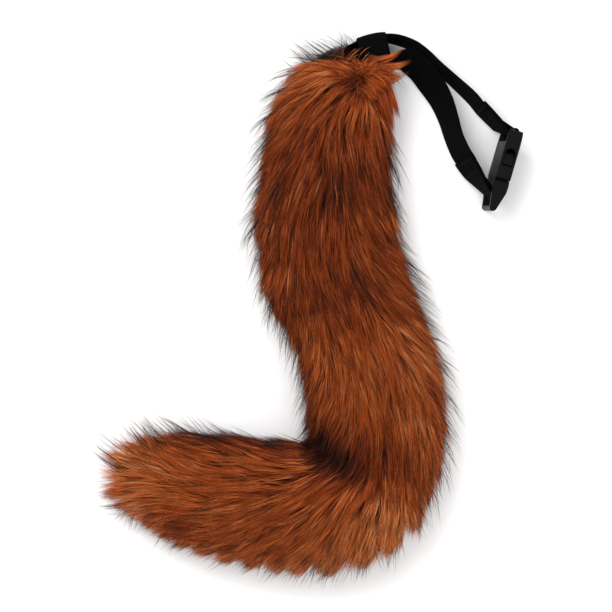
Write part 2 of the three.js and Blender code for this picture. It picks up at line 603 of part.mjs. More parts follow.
/** The plug: a base that slopes to a thin lip, with its bar, two prongs and a guide in the socket. */
function plug() {
  const start = -BUCKLE_LENGTH / 2;
  const end = MOUTH - GAP;
  const half = BUCKLE_THICKNESS / 2;
  const outline = faceBlock(start, end, BUCKLE_WIDTH / 2 - PLUG_STEP, BUCKLE_THICKNESS);
  const shoulder = end - PLUG_SHOULDER;
  const lip = { start: start + PLUG_LIP / 2, left: PLUG_LIP_SIDE + PLUG_LIP_THICKNESS / 2 };
  lip.right = lip.left - PLUG_LIP_THICKNESS;
  const profile = new THREE.Shape();
  profile.moveTo(end, -half);
  profile.lineTo(end, half);
  profile.lineTo(shoulder, half);
  profile.lineTo(lip.start, lip.left);
  profile.quadraticCurveTo(start - PLUG_LIP / 4, PLUG_LIP_SIDE, lip.start, lip.right);
  profile.lineTo(shoulder - SHOULDER_ROUND, SHOULDER_RELIEF - half);
  profile.quadraticCurveTo(shoulder, -half, shoulder + SHOULDER_ROUND, -half);
  profile.closePath();
  const base = outline.intersect(toSolid(slab(profile, BUCKLE_WIDTH)));
  const lipEnd = start + PLUG_LIP;
  const open = cutSlot(base, lipEnd, lipEnd + 2 * SLOT_LENGTH + BAR_WIDTH);
  const guideEnd = MOUTH + GUIDE_LENGTH;
  const guide = innerBlock(MOUTH - ROOTED, guideEnd, HOLLOW_HEIGHT - 2 * GAP, GUIDE_WIDTH);
  return open.add(bar(PLUG_BAR)).add(guide).add(prong(1)).add(prong(-1));
}

buckle.add(toMesh("buckle_socket", socket(), PLASTIC));
buckle.add(toMesh("buckle_plug", plug(), PLASTIC));

const tail = new THREE.Group();
tail.add(toMesh("fur_tail", furTail(), FUR));
tail.add(toMesh("waist_strap", waistStrap(), WEBBING));
tail.add(toMesh("belt_loop", beltLoop(0, false), WEBBING));
tail.add(buckle);

// The origin is under the middle of the whole, on the surface that it lies on.
const bounds = new THREE.Box3().setFromObject(tail, true);
const middle = bounds.getCenter(new THREE.Vector3());
tail.position.set(-middle.x, -middle.y, -bounds.min.z);

export default tail;
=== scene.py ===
"""A costume animal tail of long rust-red fur on a black webbing waist belt with a side-release buckle.

The tail lies on its side on a pale floor and is seen from straight above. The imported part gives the
buckle as it is and the room that the soft pieces take. The fur is made here as tapered strands in
clumps that follow the lie of the pile, and the webbing as woven bands with sewn hems.

Everything is in metres, with +Z up. Sizes that are easier to read in millimetres are multiplied by MM.
"""

from __future__ import annotations

import logging
import math
from dataclasses import dataclass
from enum import Enum

import bmesh
import bpy
import numpy as np
from mathutils import Matrix, Vector

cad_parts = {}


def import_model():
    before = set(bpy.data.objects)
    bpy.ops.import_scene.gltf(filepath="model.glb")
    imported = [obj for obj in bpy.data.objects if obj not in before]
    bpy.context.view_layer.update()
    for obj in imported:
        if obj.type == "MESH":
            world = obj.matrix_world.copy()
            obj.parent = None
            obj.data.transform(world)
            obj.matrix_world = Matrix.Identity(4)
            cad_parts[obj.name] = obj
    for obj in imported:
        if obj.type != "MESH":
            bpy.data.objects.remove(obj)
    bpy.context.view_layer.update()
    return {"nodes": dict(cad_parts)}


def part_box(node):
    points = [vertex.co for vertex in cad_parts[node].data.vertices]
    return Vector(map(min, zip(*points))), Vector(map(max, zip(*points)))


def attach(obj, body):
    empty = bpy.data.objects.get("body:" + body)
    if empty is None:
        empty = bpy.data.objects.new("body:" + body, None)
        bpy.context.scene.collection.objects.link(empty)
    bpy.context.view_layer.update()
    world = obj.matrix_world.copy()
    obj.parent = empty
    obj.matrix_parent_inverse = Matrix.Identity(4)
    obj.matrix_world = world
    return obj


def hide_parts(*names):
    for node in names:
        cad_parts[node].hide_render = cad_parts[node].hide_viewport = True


LOG = logging.getLogger("tail")
MM = 0.001
BODY = "root"
STRAND_MAP = "Strand"
BAKE_MAP = "OFBake"
WEAVE_MAP = "Weave"
UP = np.array([0.0, 0.0, 1.0])
EVEN_STEPS = (0.8191725134, 0.6710436067, 0.5497004779)
GOLDEN_STEP = 0.618034


class Slot(Enum):
    """The names of the record's material slots for fur and webbing."""

    FUR = "fur"
    WEBBING = "webbing"


def colour(code: str) -> tuple[float, float, float, float]:
    """A colour for a shader from its screen code.

    Args:
        code: Six hexadecimal digits, red, green and blue as a screen shows them.

    Returns:
        The linear red, green, blue and alpha.
    """
    parts = [int(code[i : i + 2], 16) / 255 for i in (0, 2, 4)]
    linear = [c / 12.92 if c <= 0.04045 else ((c + 0.055) / 1.055) ** 2.4 for c in parts]
    return (*linear, 1.0)


def unit(vectors: np.ndarray) -> np.ndarray:
    """Vectors of length one.

    Args:
        vectors: Any array whose last axis holds x, y and z.

    Returns:
        The same directions at length one.
    """
    return vectors / np.maximum(np.linalg.norm(vectors, axis=-1, keepdims=True), 1e-12)


def smoothstep(values: np.ndarray, low: float, high: float) -> np.ndarray:
    """A smooth rise from 0 at low to 1 at high.

    Args:
        values: The places to read it at.
        low: Where it starts to rise, or to fall if it is above high.
        high: Where it ends.

    Returns:
        The rise at each place.
    """
    share = np.clip((np.asarray(values, float) - low) / (high - low), 0.0, 1.0)
    return share * share * (3 - 2 * share)


def show(mesh: bpy.types.Mesh, finish: bpy.types.Material) -> bpy.types.Object:
    """Gives a mesh its finish and puts it into the scene.

    Args:
        mesh: The mesh, whose name the object takes.
        finish: Its material.

    Returns:
        The object, with its origin at the frame's.
    """
    mesh.materials.append(finish)
    piece = bpy.data.objects.new(mesh.name, mesh)
    bpy.context.scene.collection.objects.link(piece)
    return piece


def smooth_piece(name: str, shell: bmesh.types.BMesh, finish: bpy.types.Material) -> bpy.types.Object:
    """Turns a bmesh into a smooth object in the scene and frees it.

    Args:
        name: The piece's name.
        shell: The bmesh.
        finish: Its material.

    Returns:
        The object.
    """
    mesh = bpy.data.meshes.new(name)
    shell.to_mesh(mesh)
    shell.free()
    mesh.polygons.foreach_set("use_smooth", np.ones(len(mesh.polygons), bool))
    return show(mesh, finish)


class Board:
    """A material's node board, with short ways to add and join nodes."""

    def __init__(self, name: str) -> None:
        """Starts a material that holds a Principled shader and its output.

        Args:
            name: The material's name.
        """
        self.material = bpy.data.materials.new(name)
        self.material.use_nodes = True
        self.nodes = self.material.node_tree.nodes
        self.links = self.material.node_tree.links
        self.nodes.clear()
        self.shader = self.nodes.new("ShaderNodeBsdfPrincipled")
        output = self.nodes.new("ShaderNodeOutputMaterial")
        self.links.new(self.shader.outputs["BSDF"], output.inputs["Surface"])

    def set(self, **values: float | tuple) -> None:
        """Sets plain values on the shader.

        Args:
            values: The values by socket name, with _ for each space.
        """
        for name, value in values.items():
            self.shader.inputs[name.replace("_", " ")].default_value = value

    def add(self, kind: str, inputs: dict | None = None, **settings: object) -> bpy.types.Node:
        """Adds a node.

        Args:
            kind: The node's type, without ShaderNode.
            inputs: What goes into its sockets by name or index, an output socket or a plain value.
            settings: Its own settings by name.

        Returns:
            The new node.
        """
        node = self.nodes.new("ShaderNode" + kind)
        for name, value in settings.items():
            setattr(node, name, value)
        for key, value in (inputs or {}).items():
            self.join(value, node.inputs[key])
        return node

    def join(self, value: object, socket: bpy.types.NodeSocket) -> None:
        """Puts a value or an output into a socket.

        Args:
            value: An output socket or a plain value.
            socket: The input socket.
        """
        if isinstance(value, bpy.types.NodeSocket):
            self.links.new(value, socket)
        else:
            socket.default_value = value

    def math(self, operation: str, *terms: object) -> bpy.types.NodeSocket:
        """A sum, product or other piece of arithmetic.

        Args:
            operation: The Math node's operation.
            terms: One to three outputs or numbers.

        Returns:
            The result's socket.
        """
        return self.add("Math", dict(enumerate(terms)), operation=operation).outputs[0]

    def ramp(self, factor: bpy.types.NodeSocket, stops: dict[float, object]) -> bpy.types.NodeSocket:
        """A colour ramp.

        Args:
            factor: What is read along the ramp.
            stops: The colour code, or a grey from 0 to 1, at each place along it.

        Returns:
            The colour's socket.
        """
        node = self.add("ValToRGB", {"Fac": factor})
        elements = node.color_ramp.elements
        while len(elements) < len(stops):
            elements.new(0.5)
        for element, (place, value) in zip(elements, sorted(stops.items())):
            element.position = place
            element.color = colour(value) if isinstance(value, str) else (value, value, value, 1.0)
        return node.outputs["Color"]

    def mix(self, factor: object, first: object, second: object) -> bpy.types.NodeSocket:
        """Mixes two colours.

        Args:
            factor: How much of the second, an output or a number.
            first: The first colour.
            second: The second colour.

        Returns:
            The colour's socket.
        """
        node = self.nodes.new("ShaderNodeMix")
        node.data_type = "RGBA"
        self.join(factor, node.inputs[0])
        self.join(first, node.inputs[6])
        self.join(second, node.inputs[7])
        return node.outputs[2]

    def noise(self, vector: bpy.types.NodeSocket, scale: float, detail: float = 3.0) -> bpy.types.NodeSocket:
        """Plain noise read at a vector.

        Args:
            vector: Where it is read.
            scale: Its grains for each unit of the vector.
            detail: Its octaves.

        Returns:
            The noise's socket, from 0 to 1.
        """
        inputs = {"Vector": vector, "Scale": scale, "Detail": detail}
        return self.add("TexNoise", inputs).outputs["Fac"]

    def bump(
        self, height: bpy.types.NodeSocket, distance: float, strength: float, normal: object = None
    ) -> None:
        """Raises the surface by a height.

        Args:
            height: The height, from 0 to 1.
            distance: What 1 stands for, in metres.
            strength: How strongly it shows.
            normal: A normal that it starts from.
        """
        inputs = {"Height": height, "Distance": distance, "Strength": strength}
        if normal is not None:
            inputs["Normal"] = normal
        node = self.add("Bump", inputs)
        self.links.new(node.outputs["Normal"], self.shader.inputs["Normal"])


@dataclass(frozen=True)
class FurFinish:
    """Long acrylic pile: dark at the root, partly as painted shade, rust in the middle and paler at the tip.

    Each strand carries its shade along u, from black guard hair at 0 to pale gold at 1, and its way
    from root to tip along v.
    """

    name: str = "fur_pile"
    roughness: float = 0.48

    def build(self) -> bpy.types.Material:
        """Makes the material.

        Returns:
            The material.
        """
        board = Board(self.name)
        split = board.add("SeparateXYZ", {0: board.add("UVMap", uv_map=STRAND_MAP).outputs["UV"]})
        shade, way = split.outputs["X"], split.outputs["Y"]
        dark = {0.0: "070504", 0.1: "200f09", 0.24: "5c220b"}
        pale = {0.42: "9c3f14", 0.6: "c85a1c", 0.8: "e47e36", 1.0: "f6bc80"}
        tips = board.ramp(shade, {**dark, **pale})
        # Root colours: partly the pile's dye, partly painted shade deep in the pile between the clumps.
        roots_dye_and_shade = board.ramp(shade, {0.0: "040302", 0.3: "260d05", 0.6: "581e08", 1.0: "8a3a13"})
        rise = board.ramp(way, {0.0: 0.0, 0.25: 0.25, 0.6: 0.9, 1.0: 1.0})
        body = board.mix(rise, roots_dye_and_shade, tips)
        board.join(body, board.shader.inputs["Base Color"])
        board.set(Roughness=self.roughness, Specular_IOR_Level=0.22)
        return board.material


@dataclass(frozen=True)
class BackingFinish:
    """The knitted backing under the pile, dyed a dark brown, which shows only between the clumps."""

    name: str = "fur_backing"

    def build(self) -> bpy.types.Material:
        """Makes the material.

        Returns:
            The material.
        """
        board = Board(self.name)
        place = board.add("TexCoord").outputs["Object"]
        patches = board.noise(place, 160.0)
        fibres = board.noise(place, 1400.0, 2.0)
        board.join(board.ramp(patches, {0.3: "2a1007", 0.7: "4a1d0b"}), board.shader.inputs["Base Color"])
        board.bump(fibres, 0.0012, 0.8)
        board.set(Roughness=0.9, Specular_IOR_Level=0.1)
        return board.material


@dataclass(frozen=True)
class WebbingFinish:
    """Black polyester webbing: ribs along the strap, crossed by the weft, with closed edges.

    The strap's own map holds metres: u across the width from its middle, and v along the strap.
    """

    name: str = "webbing_weave"
    rib: float = 1.5 * MM
    weft: float = 0.9 * MM

    def build(self) -> bpy.types.Material:
        """Makes the material.

        Returns:
            The material.
        """
        board = Board(self.name)
        uv = board.add("UVMap", uv_map=WEAVE_MAP).outputs["UV"]
        split = board.add("SeparateXYZ", {0: uv})
        across, along = split.outputs["X"], split.outputs["Y"]
        rib_turn = board.math("MULTIPLY", across, 2 * math.pi / self.rib)
        weft_turn = board.math("MULTIPLY", along, 2 * math.pi / self.weft)
        rib = board.math("ABSOLUTE", board.math("SINE", board.math("MULTIPLY", rib_turn, 0.5)))
        step = board.math("ARCTANGENT", board.math("MULTIPLY", board.math("SINE", rib_turn), 4.0))
        weft = board.math("SINE", board.math("ADD", weft_turn, step))
        weave = board.math("MULTIPLY_ADD", weft, 0.22, board.math("MULTIPLY", rib, 0.75))
        place = board.add("TexCoord").outputs["Object"]
        wear = board.noise(place, 45.0)
        fuzz = board.noise(place, 2600.0, 2.0)
        base = board.ramp(weave, {0.1: "020202", 0.75: "070707", 1.0: "0c0c0d"})
        board.join(
            board.mix(board.math("MULTIPLY", wear, 0.3), base, colour("0a0a0b")),
            board.shader.inputs["Base Color"],
        )
        board.bump(board.math("MULTIPLY_ADD", fuzz, 0.25, weave), 0.00035, 0.7)
        board.set(Roughness=0.85, Specular_IOR_Level=0.03)
        return board.material


@dataclass(frozen=True)
class ThreadFinish:
    """Black sewing thread, a little glossier than the webbing, with its twist."""

    name: str = "sewing_thread"

    def build(self) -> bpy.types.Material:
        """Makes the material.

        Returns:
            The material.
        """
        board = Board(self.name)
        place = board.add("TexCoord").outputs["Object"]
        twist = board.noise(place, 3000.0, 1.0)
        board.join(board.ramp(twist, {0.3: "08080a", 0.7: "19191c"}), board.shader.inputs["Base Color"])
        board.bump(twist, 0.0002, 0.6)
        board.set(Roughness=0.55, Specular_IOR_Level=0.12)
        return board.material


@dataclass(frozen=True)
class PlasticFinish:
    """Moulded black acetal: fine spark grain, softened edges and slightly polished patches."""

    name: str = "moulded_plastic"
    edge: float = 0.5 * MM

    def build(self) -> bpy.types.Material:
        """Makes the material.

        Returns:
            The material.
        """
        board = Board(self.name)
        place = board.add("TexCoord").outputs["Object"]
        grain = board.noise(place, 2400.0, 2.0)
        patches = board.noise(place, 60.0)
        board.join(board.ramp(patches, {0.3: "090a0b", 0.7: "0e0f11"}), board.shader.inputs["Base Color"])
        gloss = board.ramp(board.math("MULTIPLY_ADD", grain, 0.3, patches), {0.3: 0.34, 0.9: 0.5})
        board.join(gloss, board.shader.inputs["Roughness"])
        rounded = board.add("Bevel", {"Radius": self.edge}, samples=6)
        board.bump(grain, 0.00006, 0.5, rounded.outputs["Normal"])
        board.set(Specular_IOR_Level=0.05)
        return board.material


@dataclass(frozen=True)
class FloorFinish:
    """Plain white studio paper."""

    name: str = "studio_paper"

    def build(self) -> bpy.types.Material:
        """Makes the material.

        Returns:
            The material.
        """
        board = Board(self.name)
        board.set(Base_Color=colour("f4f4f4"), Roughness=0.9, Specular_IOR_Level=0.1)
        return board.material


class TableCurve:
    """A smooth curve through the rows of a table, the same kind that the part is made on."""

    def __init__(self, points: np.ndarray) -> None:
        """Keeps the points.

        Args:
            points: One point for each row.
        """
        first = 2 * points[0] - points[1]
        last = 2 * points[-1] - points[-2]
        self.points = np.vstack([first, points, last])
        self.spans = len(points) - 1

    def at(self, share: np.ndarray) -> np.ndarray:
        """Points of the curve.

        Args:
            share: Places from 0 at the first row to 1 at the last.

        Returns:
            The points.
        """
        place = np.clip(np.asarray(share, float), 0, 1) * self.spans
        row = np.minimum(place.astype(int), self.spans - 1)
        w = (place - row)[..., None]
        p0, p1, p2, p3 = (self.points[row + k] for k in range(4))
        d0, d1, d2 = (
            np.sqrt(np.linalg.norm(b - a, axis=-1, keepdims=True)) for a, b in ((p0, p1), (p1, p2), (p2, p3))
        )
        d1 = np.where(d1 < 1e-6, 1.0, d1)
        d0 = np.where(d0 < 1e-6, d1, d0)
        d2 = np.where(d2 < 1e-6, d1, d2)
        start = d1 * ((p1 - p0) / d0 - (p2 - p0) / (d0 + d1) + (p2 - p1) / d1)
        end = d1 * ((p2 - p1) / d1 - (p3 - p1) / (d1 + d2) + (p3 - p2) / d2)
        return p1 + w * (start + w * (3 * (p2 - p1) - 2 * start - end + w * (2 * (p1 - p2) + start + end)))

    def ahead(self, share: np.ndarray) -> np.ndarray:
        """The curve's direction.

        Args:
            share: Places from 0 to 1.

        Returns:
            Directions of length one.
        """
        share = np.asarray(share, float)
        step = 1e-4
        return unit(self.at(np.minimum(share + step, 1)) - self.at(np.maximum(share - step, 0)))


@dataclass(frozen=True)
class Section:
    """A row of the tail's table: x and y as shares of its length from the root seam, and its fullness."""

    x: float
    y: float
    wide: float
    high: float


@dataclass
class TailForm:
    """The stuffed tube under the pile, from which every strand grows.

    A place on it is a share along the spine and a turn round the section, 0 at the left of the way
    to the tip, a quarter turn on top.

    Attributes:
        length: The tail's length, which the table's places are shares of.
        width: Its width over the fur, which the table's widths are shares of.
        height: Its height over the fur, which the table's heights are shares of.
        pile: How deep the fur is round the backing.
        pressed: How deep it is underneath, where the tail's weight presses it flat.
        root_round: How far from the root the backing's end is rounded.
        tip_round: And from the tip.
        seam_from_corner: The root seam from the low corner of the solid tail's box.
        samples: How many places on the spine a point is compared with.
        window: How far along the spine from its own share a point is sought.
        sections: The table, from the root seam to the tip.
    """

    length: float = 580 * MM
    width: float = 112 * MM
    height: float = 72 * MM
    pile: float = 13 * MM
    pressed: float = 3 * MM
    root_round: float = 26 * MM
    tip_round: float = 48 * MM
    seam_from_corner: tuple[float, float] = (210.05 * MM, 402.3 * MM)
    samples: int = 241
    window: float = 0.16
    sections: tuple[Section, ...] = (
        Section(0.0, 0.002, 0.54, 0.8),
        Section(-0.03, -0.034, 0.8, 0.9),
        Section(-0.049, -0.073, 0.92, 0.98),
        Section(-0.054, -0.125, 0.96, 1.0),
        Section(-0.058, -0.18, 0.98, 1.0),
        Section(-0.056, -0.238, 0.98, 1.0),
        Section(-0.04, -0.299, 0.98, 1.0),
        Section(-0.014, -0.357, 0.95, 1.0),
        Section(0.004, -0.412, 0.99, 1.0),
        Section(0.011, -0.468, 1.0, 1.0),
        Section(0.008, -0.518, 1.02, 1.0),
        Section(-0.011, -0.566, 1.04, 1.0),
        Section(-0.05, -0.594, 1.03, 1.0),
        Section(-0.102, -0.598, 1.0, 0.98),
        Section(-0.163, -0.593, 0.98, 0.94),
        Section(-0.225, -0.582, 0.9, 0.86),
        Section(-0.285, -0.573, 0.76, 0.76),
        Section(-0.336, -0.567, 0.6, 0.62),
    )

    def __post_init__(self) -> None:
        """Works out the spine and where the root seam is."""
        low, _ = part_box("fur_tail")
        self.seam = np.array([low.x + self.seam_from_corner[0], low.y + self.seam_from_corner[1], 0.0])
        places = np.array([[row.x, row.y, 0.0] for row in self.sections])
        girths = np.array([[row.wide * self.width / 2, row.high * self.height / 2] for row in self.sections])
        self.spine = TableCurve(places * self.length + self.seam)
        self.girth = TableCurve(girths)
        steps = self.spine.at(np.linspace(0, 1, 400))
        self.spine_length = float(np.linalg.norm(np.diff(steps, axis=0), axis=1).sum())

    def section(self, along: np.ndarray) -> tuple[np.ndarray, ...]:
        """The backing's section, carried on straight past either end.

        Args:
            along: Shares along the spine.

        Returns:
            The centres, the directions to the tip and to the left, and the half width and half height.
        """
        along = np.asarray(along, float)
        share = np.clip(along, 0, 1)
        ahead = self.spine.ahead(share)
        centre = self.spine.at(share) + ahead * ((along - share) * self.spine_length)[..., None]
        fur = self.girth.at(share)
        root = np.minimum(share * self.spine_length / self.root_round, 1)
        tip = np.minimum((1 - share) * self.spine_length / self.tip_round, 1)
        rounding = np.sqrt(1 - (1 - root) ** 2) * np.sqrt(1 - (1 - tip) ** 2)
        half_height = fur[..., 1] + (self.pressed - self.pile) / 2
        centre[..., 2] = half_height - self.pressed
        left = np.cross(UP, ahead)
        return centre, ahead, left, (fur[..., 0] - self.pile) * rounding, half_height * rounding

    def point(self, along: np.ndarray, turn: np.ndarray, out: np.ndarray | float) -> np.ndarray:
        """Points off the backing.

        Args:
            along: Shares along the spine.
            turn: Turns round the section, in radians.
            out: Distances from the backing.

        Returns:
            The points.
        """
        centre, _, left, half_width, half_height = self.section(along)
        sideways = (np.cos(turn) * (half_width + out))[..., None] * left
        upwards = (np.sin(turn) * (half_height + out))[..., None] * UP
        return centre + sideways + upwards

    def facing(self, along: np.ndarray, turn: np.ndarray) -> np.ndarray:
        """The ways straight out of the backing, as long as the area that each place stands for.

        Args:
            along: Shares along the spine.
            turn: Turns round the section, in radians.

        Returns:
            The ways out.
        """
        step, off = 2e-3, 3 * MM
        forward = self.point(along + step, turn, off) - self.point(along - step, turn, off)
        round_it = self.point(along, turn + step, off) - self.point(along, turn - step, off)
        return np.cross(round_it, forward) / (4 * step * step)

    def locate(self, points: np.ndarray, near: np.ndarray) -> tuple[np.ndarray, ...]:
        """Where points are about the form.

        Args:
            points: The points.
            near: The share along the spine that each one belongs to. It is sought round there only.

        Returns:
            The shares along the spine, the turns, the distances off the backing and the ways out of it.
        """
        grid = np.linspace(0, 1, self.samples)
        gap = np.linalg.norm(points[:, None, :2] - self.spine.at(grid)[None, :, :2], axis=-1)
        gap = gap + (np.abs(grid[None, :] - near[:, None]) > self.window)
        nearest = grid[gap.argmin(1)]
        beyond = ((points - self.spine.at(nearest)) * self.spine.ahead(nearest)).sum(1)
        along = nearest + beyond / self.spine_length
        centre, _, left, half_width, half_height = self.section(along)
        sideways = ((points - centre) * left).sum(1)
        upwards = points[:, 2] - centre[:, 2]
        half_width, half_height = (np.maximum(half, 0.5 * MM) for half in (half_width, half_height))
        fullness = np.hypot(sideways / half_width, upwards / half_height)
        out = np.hypot(sideways, upwards) * (1 - 1 / np.maximum(fullness, 0.1))
        turn = np.arctan2(upwards / half_height, sideways / half_width)
        outward = left * (sideways / half_width**2)[:, None] + UP * (upwards / half_height**2)[:, None]
        return along, turn, out, unit(outward)


@dataclass(frozen=True)
class Coat:
    """A kind of hair and how it grows.

    Attributes:
        name: What the coat is called. It is not used.
        clumps: How many clumps grow on the whole tail.
        strands: How many strands a clump has.
        points: How many points a strand has from root to tip.
        spread: How far from its clump's middle a strand is rooted, in metres.
        gather: How far the strands draw together at the tip, from 0 to 1.
        length: The longest length, in metres.
        uneven: How much the lengths differ, as a share.
        lift: How far the tip stands off the backing, in metres.
        hold: How firmly it keeps to the backing, from 0, straight on, to 1.
        width: The strand's width at its root, in metres.
        fan: How far the tips lean away from the tail's middle line, as a slope.
        stray: How far a clump's way strays, in radians.
        shade: The middle shade on the finish's scale.
        clump_shade: How much the clumps' shades differ.
        strand_shade: How much the strands' shades differ within a clump.
        flanks: How much more of it grows on the tail's two sides than on top.
        phase: Shifts the pattern of its places, so that two coats don't share them.
        tinted: Whether the patches and spots act on its shade.
    """

    name: str
    clumps: int
    strands: int
    points: int
    spread: float
    gather: float
    length: float
    uneven: float
    lift: float
    hold: float
    width: float
    fan: float
    stray: float
    shade: float
    clump_shade: float
    strand_shade: float
    flanks: float
    phase: float
    tinted: bool


@dataclass(frozen=True)
class Patch:
    """A soft-edged patch of the tail.

    Attributes:
        along: Its middle, as a share along the spine.
        turn: Its middle round the section, in degrees.
        long: Half its length, as a share of the spine.
        wide: Half its width, in degrees.
        value: What it adds to the shade, or the heading that it combs the pile to, in degrees
            counter-clockwise from +X.
    """

    along: float
    turn: float
    long: float
    wide: float
    value: float

    def weight(self, along: np.ndarray, turn: np.ndarray) -> np.ndarray:
        """How strongly it acts at places on the tail.

        Args:
            along: Shares along the spine.
            turn: Turns round the section, in radians.

        Returns:
            Weights from 0 to 1.
        """
        off = (np.degrees(turn) - self.turn + 180) % 360 - 180
        return np.exp(-(((along - self.along) / self.long) ** 2) - (off / self.wide) ** 2)


@dataclass(frozen=True)
class Spot:
    """A round spot where the pile is darker and pressed in, or paler and raised; a few are painted crease
    shade.

    Attributes:
        x: Its middle from the root seam, to the right, in millimetres.
        y: And up the view.
        reach: Its radius, in millimetres.
        shade: What it adds to the shade.
    """

    x: float
    y: float
    reach: float
    shade: float

    def weight(self, places: np.ndarray) -> np.ndarray:
        """How strongly it acts at places.

        Args:
            places: Places from the root seam, in metres.

        Returns:
            Weights from 0 to 1.
        """
        x, y, reach = self.x * MM, self.y * MM, self.reach * MM
        return np.exp(-np.hypot(places[:, 0] - x, places[:, 1] - y) ** 2 / reach**2)


@dataclass(frozen=True)
class LooseLock:
    """A lock that stands apart from the pile, at the root or at the tip.

    Attributes:
        way: Its root, middle and tip from the root seam, x, y and z in millimetres.
        strands: How many hairs it has.
        root: How far its hairs are spread at the root, in millimetres.
        tip: And at the tip.
        shade: Its shade.
    """

    way: tuple[tuple[float, float, float], ...]
    strands: int
    root: float
    tip: float
    shade: float


@dataclass(frozen=True)
class Rosette:
    """The locks that spread from the whorl and cover it. Their sizes are in millimetres.

    Attributes:
        count: How many locks there are.
        strands: How many hairs each one has.
        reach: How far it reaches.
        longest: The heading of the longest ones, in degrees counter-clockwise from +X.
        longer: How much farther they reach.
        shorter: How much less the ones up the view reach.
        uneven: How much the reaches differ by chance.
        start: How near to the middle a lock is rooted at least, and how much farther off it may be.
        level: How high it lies at least, and how much higher it may lie.
        heights: How far its root, middle and tip are above that level.
        drop: How much lower the tips of the longest ones are.
        bend: How much its tip strays, in radians.
        spread: How far its hairs are spread at the root and at the tip.
        shade: The middle shade.
        shade_vary: How much the shades differ.
    """

    count: int = 30
    strands: int = 46
    reach: float = 22
    longest: float = 222
    longer: float = 20
    shorter: float = 13
    uneven: float = 3
    start: tuple[float, float] = (1, 8)
    level: tuple[float, float] = (43.5, 2.5)
    heights: tuple[float, float, float] = (-5, 1, -3)
    drop: float = 4
    bend: float = 0.25
    spread: tuple[float, float] = (2.6, 2.2)
    shade: float = 0.59
    shade_vary: float = 0.08

    def locks(self, whorl: tuple[float, float, float], rng: np.random.Generator) -> list[LooseLock]:
        """Makes the locks.

        Args:
            whorl: The whorl's place from the root seam, in metres.
            rng: The seeded source of chance.

        Returns:
            The locks.
        """
        x, y, _ = (value / MM for value in whorl)
        root, middle, tip = self.heights
        locks = []
        for index in range(self.count):
            turn = 2 * math.pi * (index * GOLDEN_STEP % 1)
            toward = max(0.0, math.cos(turn - math.radians(self.longest)))
            upward = max(0.0, math.sin(turn))
            reach = self.reach + self.longer * toward - self.shorter * upward + self.uneven * rng.random()
            bend = turn + self.bend * rng.normal()
            start = self.start[0] + self.start[1] * rng.random()
            level = self.level[0] + self.level[1] * rng.random()
            half, low = 0.5 * reach, self.drop * toward
            way = (
                (x + start * math.cos(turn), y + start * math.sin(turn), level + root),
                (x + half * math.cos(turn), y + half * math.sin(turn), level + middle),
                (x + reach * math.cos(bend), y + reach * math.sin(bend), level + tip - low),
            )
            shade = self.shade + self.shade_vary * rng.normal()
            locks.append(LooseLock(way, self.strands, *self.spread, shade))
        return locks


@dataclass
class Strands:
    """Many strands as arrays: their points from root to tip, their outer sides, widths, shades and place."""

    points: np.ndarray
    outer: np.ndarray
    widths: np.ndarray
    shades: np.ndarray
    along: np.ndarray

    def select(self, keep: np.ndarray) -> Strands:
        """Some of the strands.

        Args:
            keep: Their indices.

        Returns:
            Those strands.
        """
        return Strands(
            self.points[keep], self.outer[keep], self.widths[keep], self.shades[keep], self.along[keep]
        )

    @staticmethod
    def together(several: list[Strands]) -> Strands:
        """Joins groups of strands.

        Args:
            several: The groups.

        Returns:
            One group.
        """
        names = ("points", "outer", "widths", "shades", "along")
        return Strands(*(np.concatenate([getattr(s, n) for s in several]) for n in names))


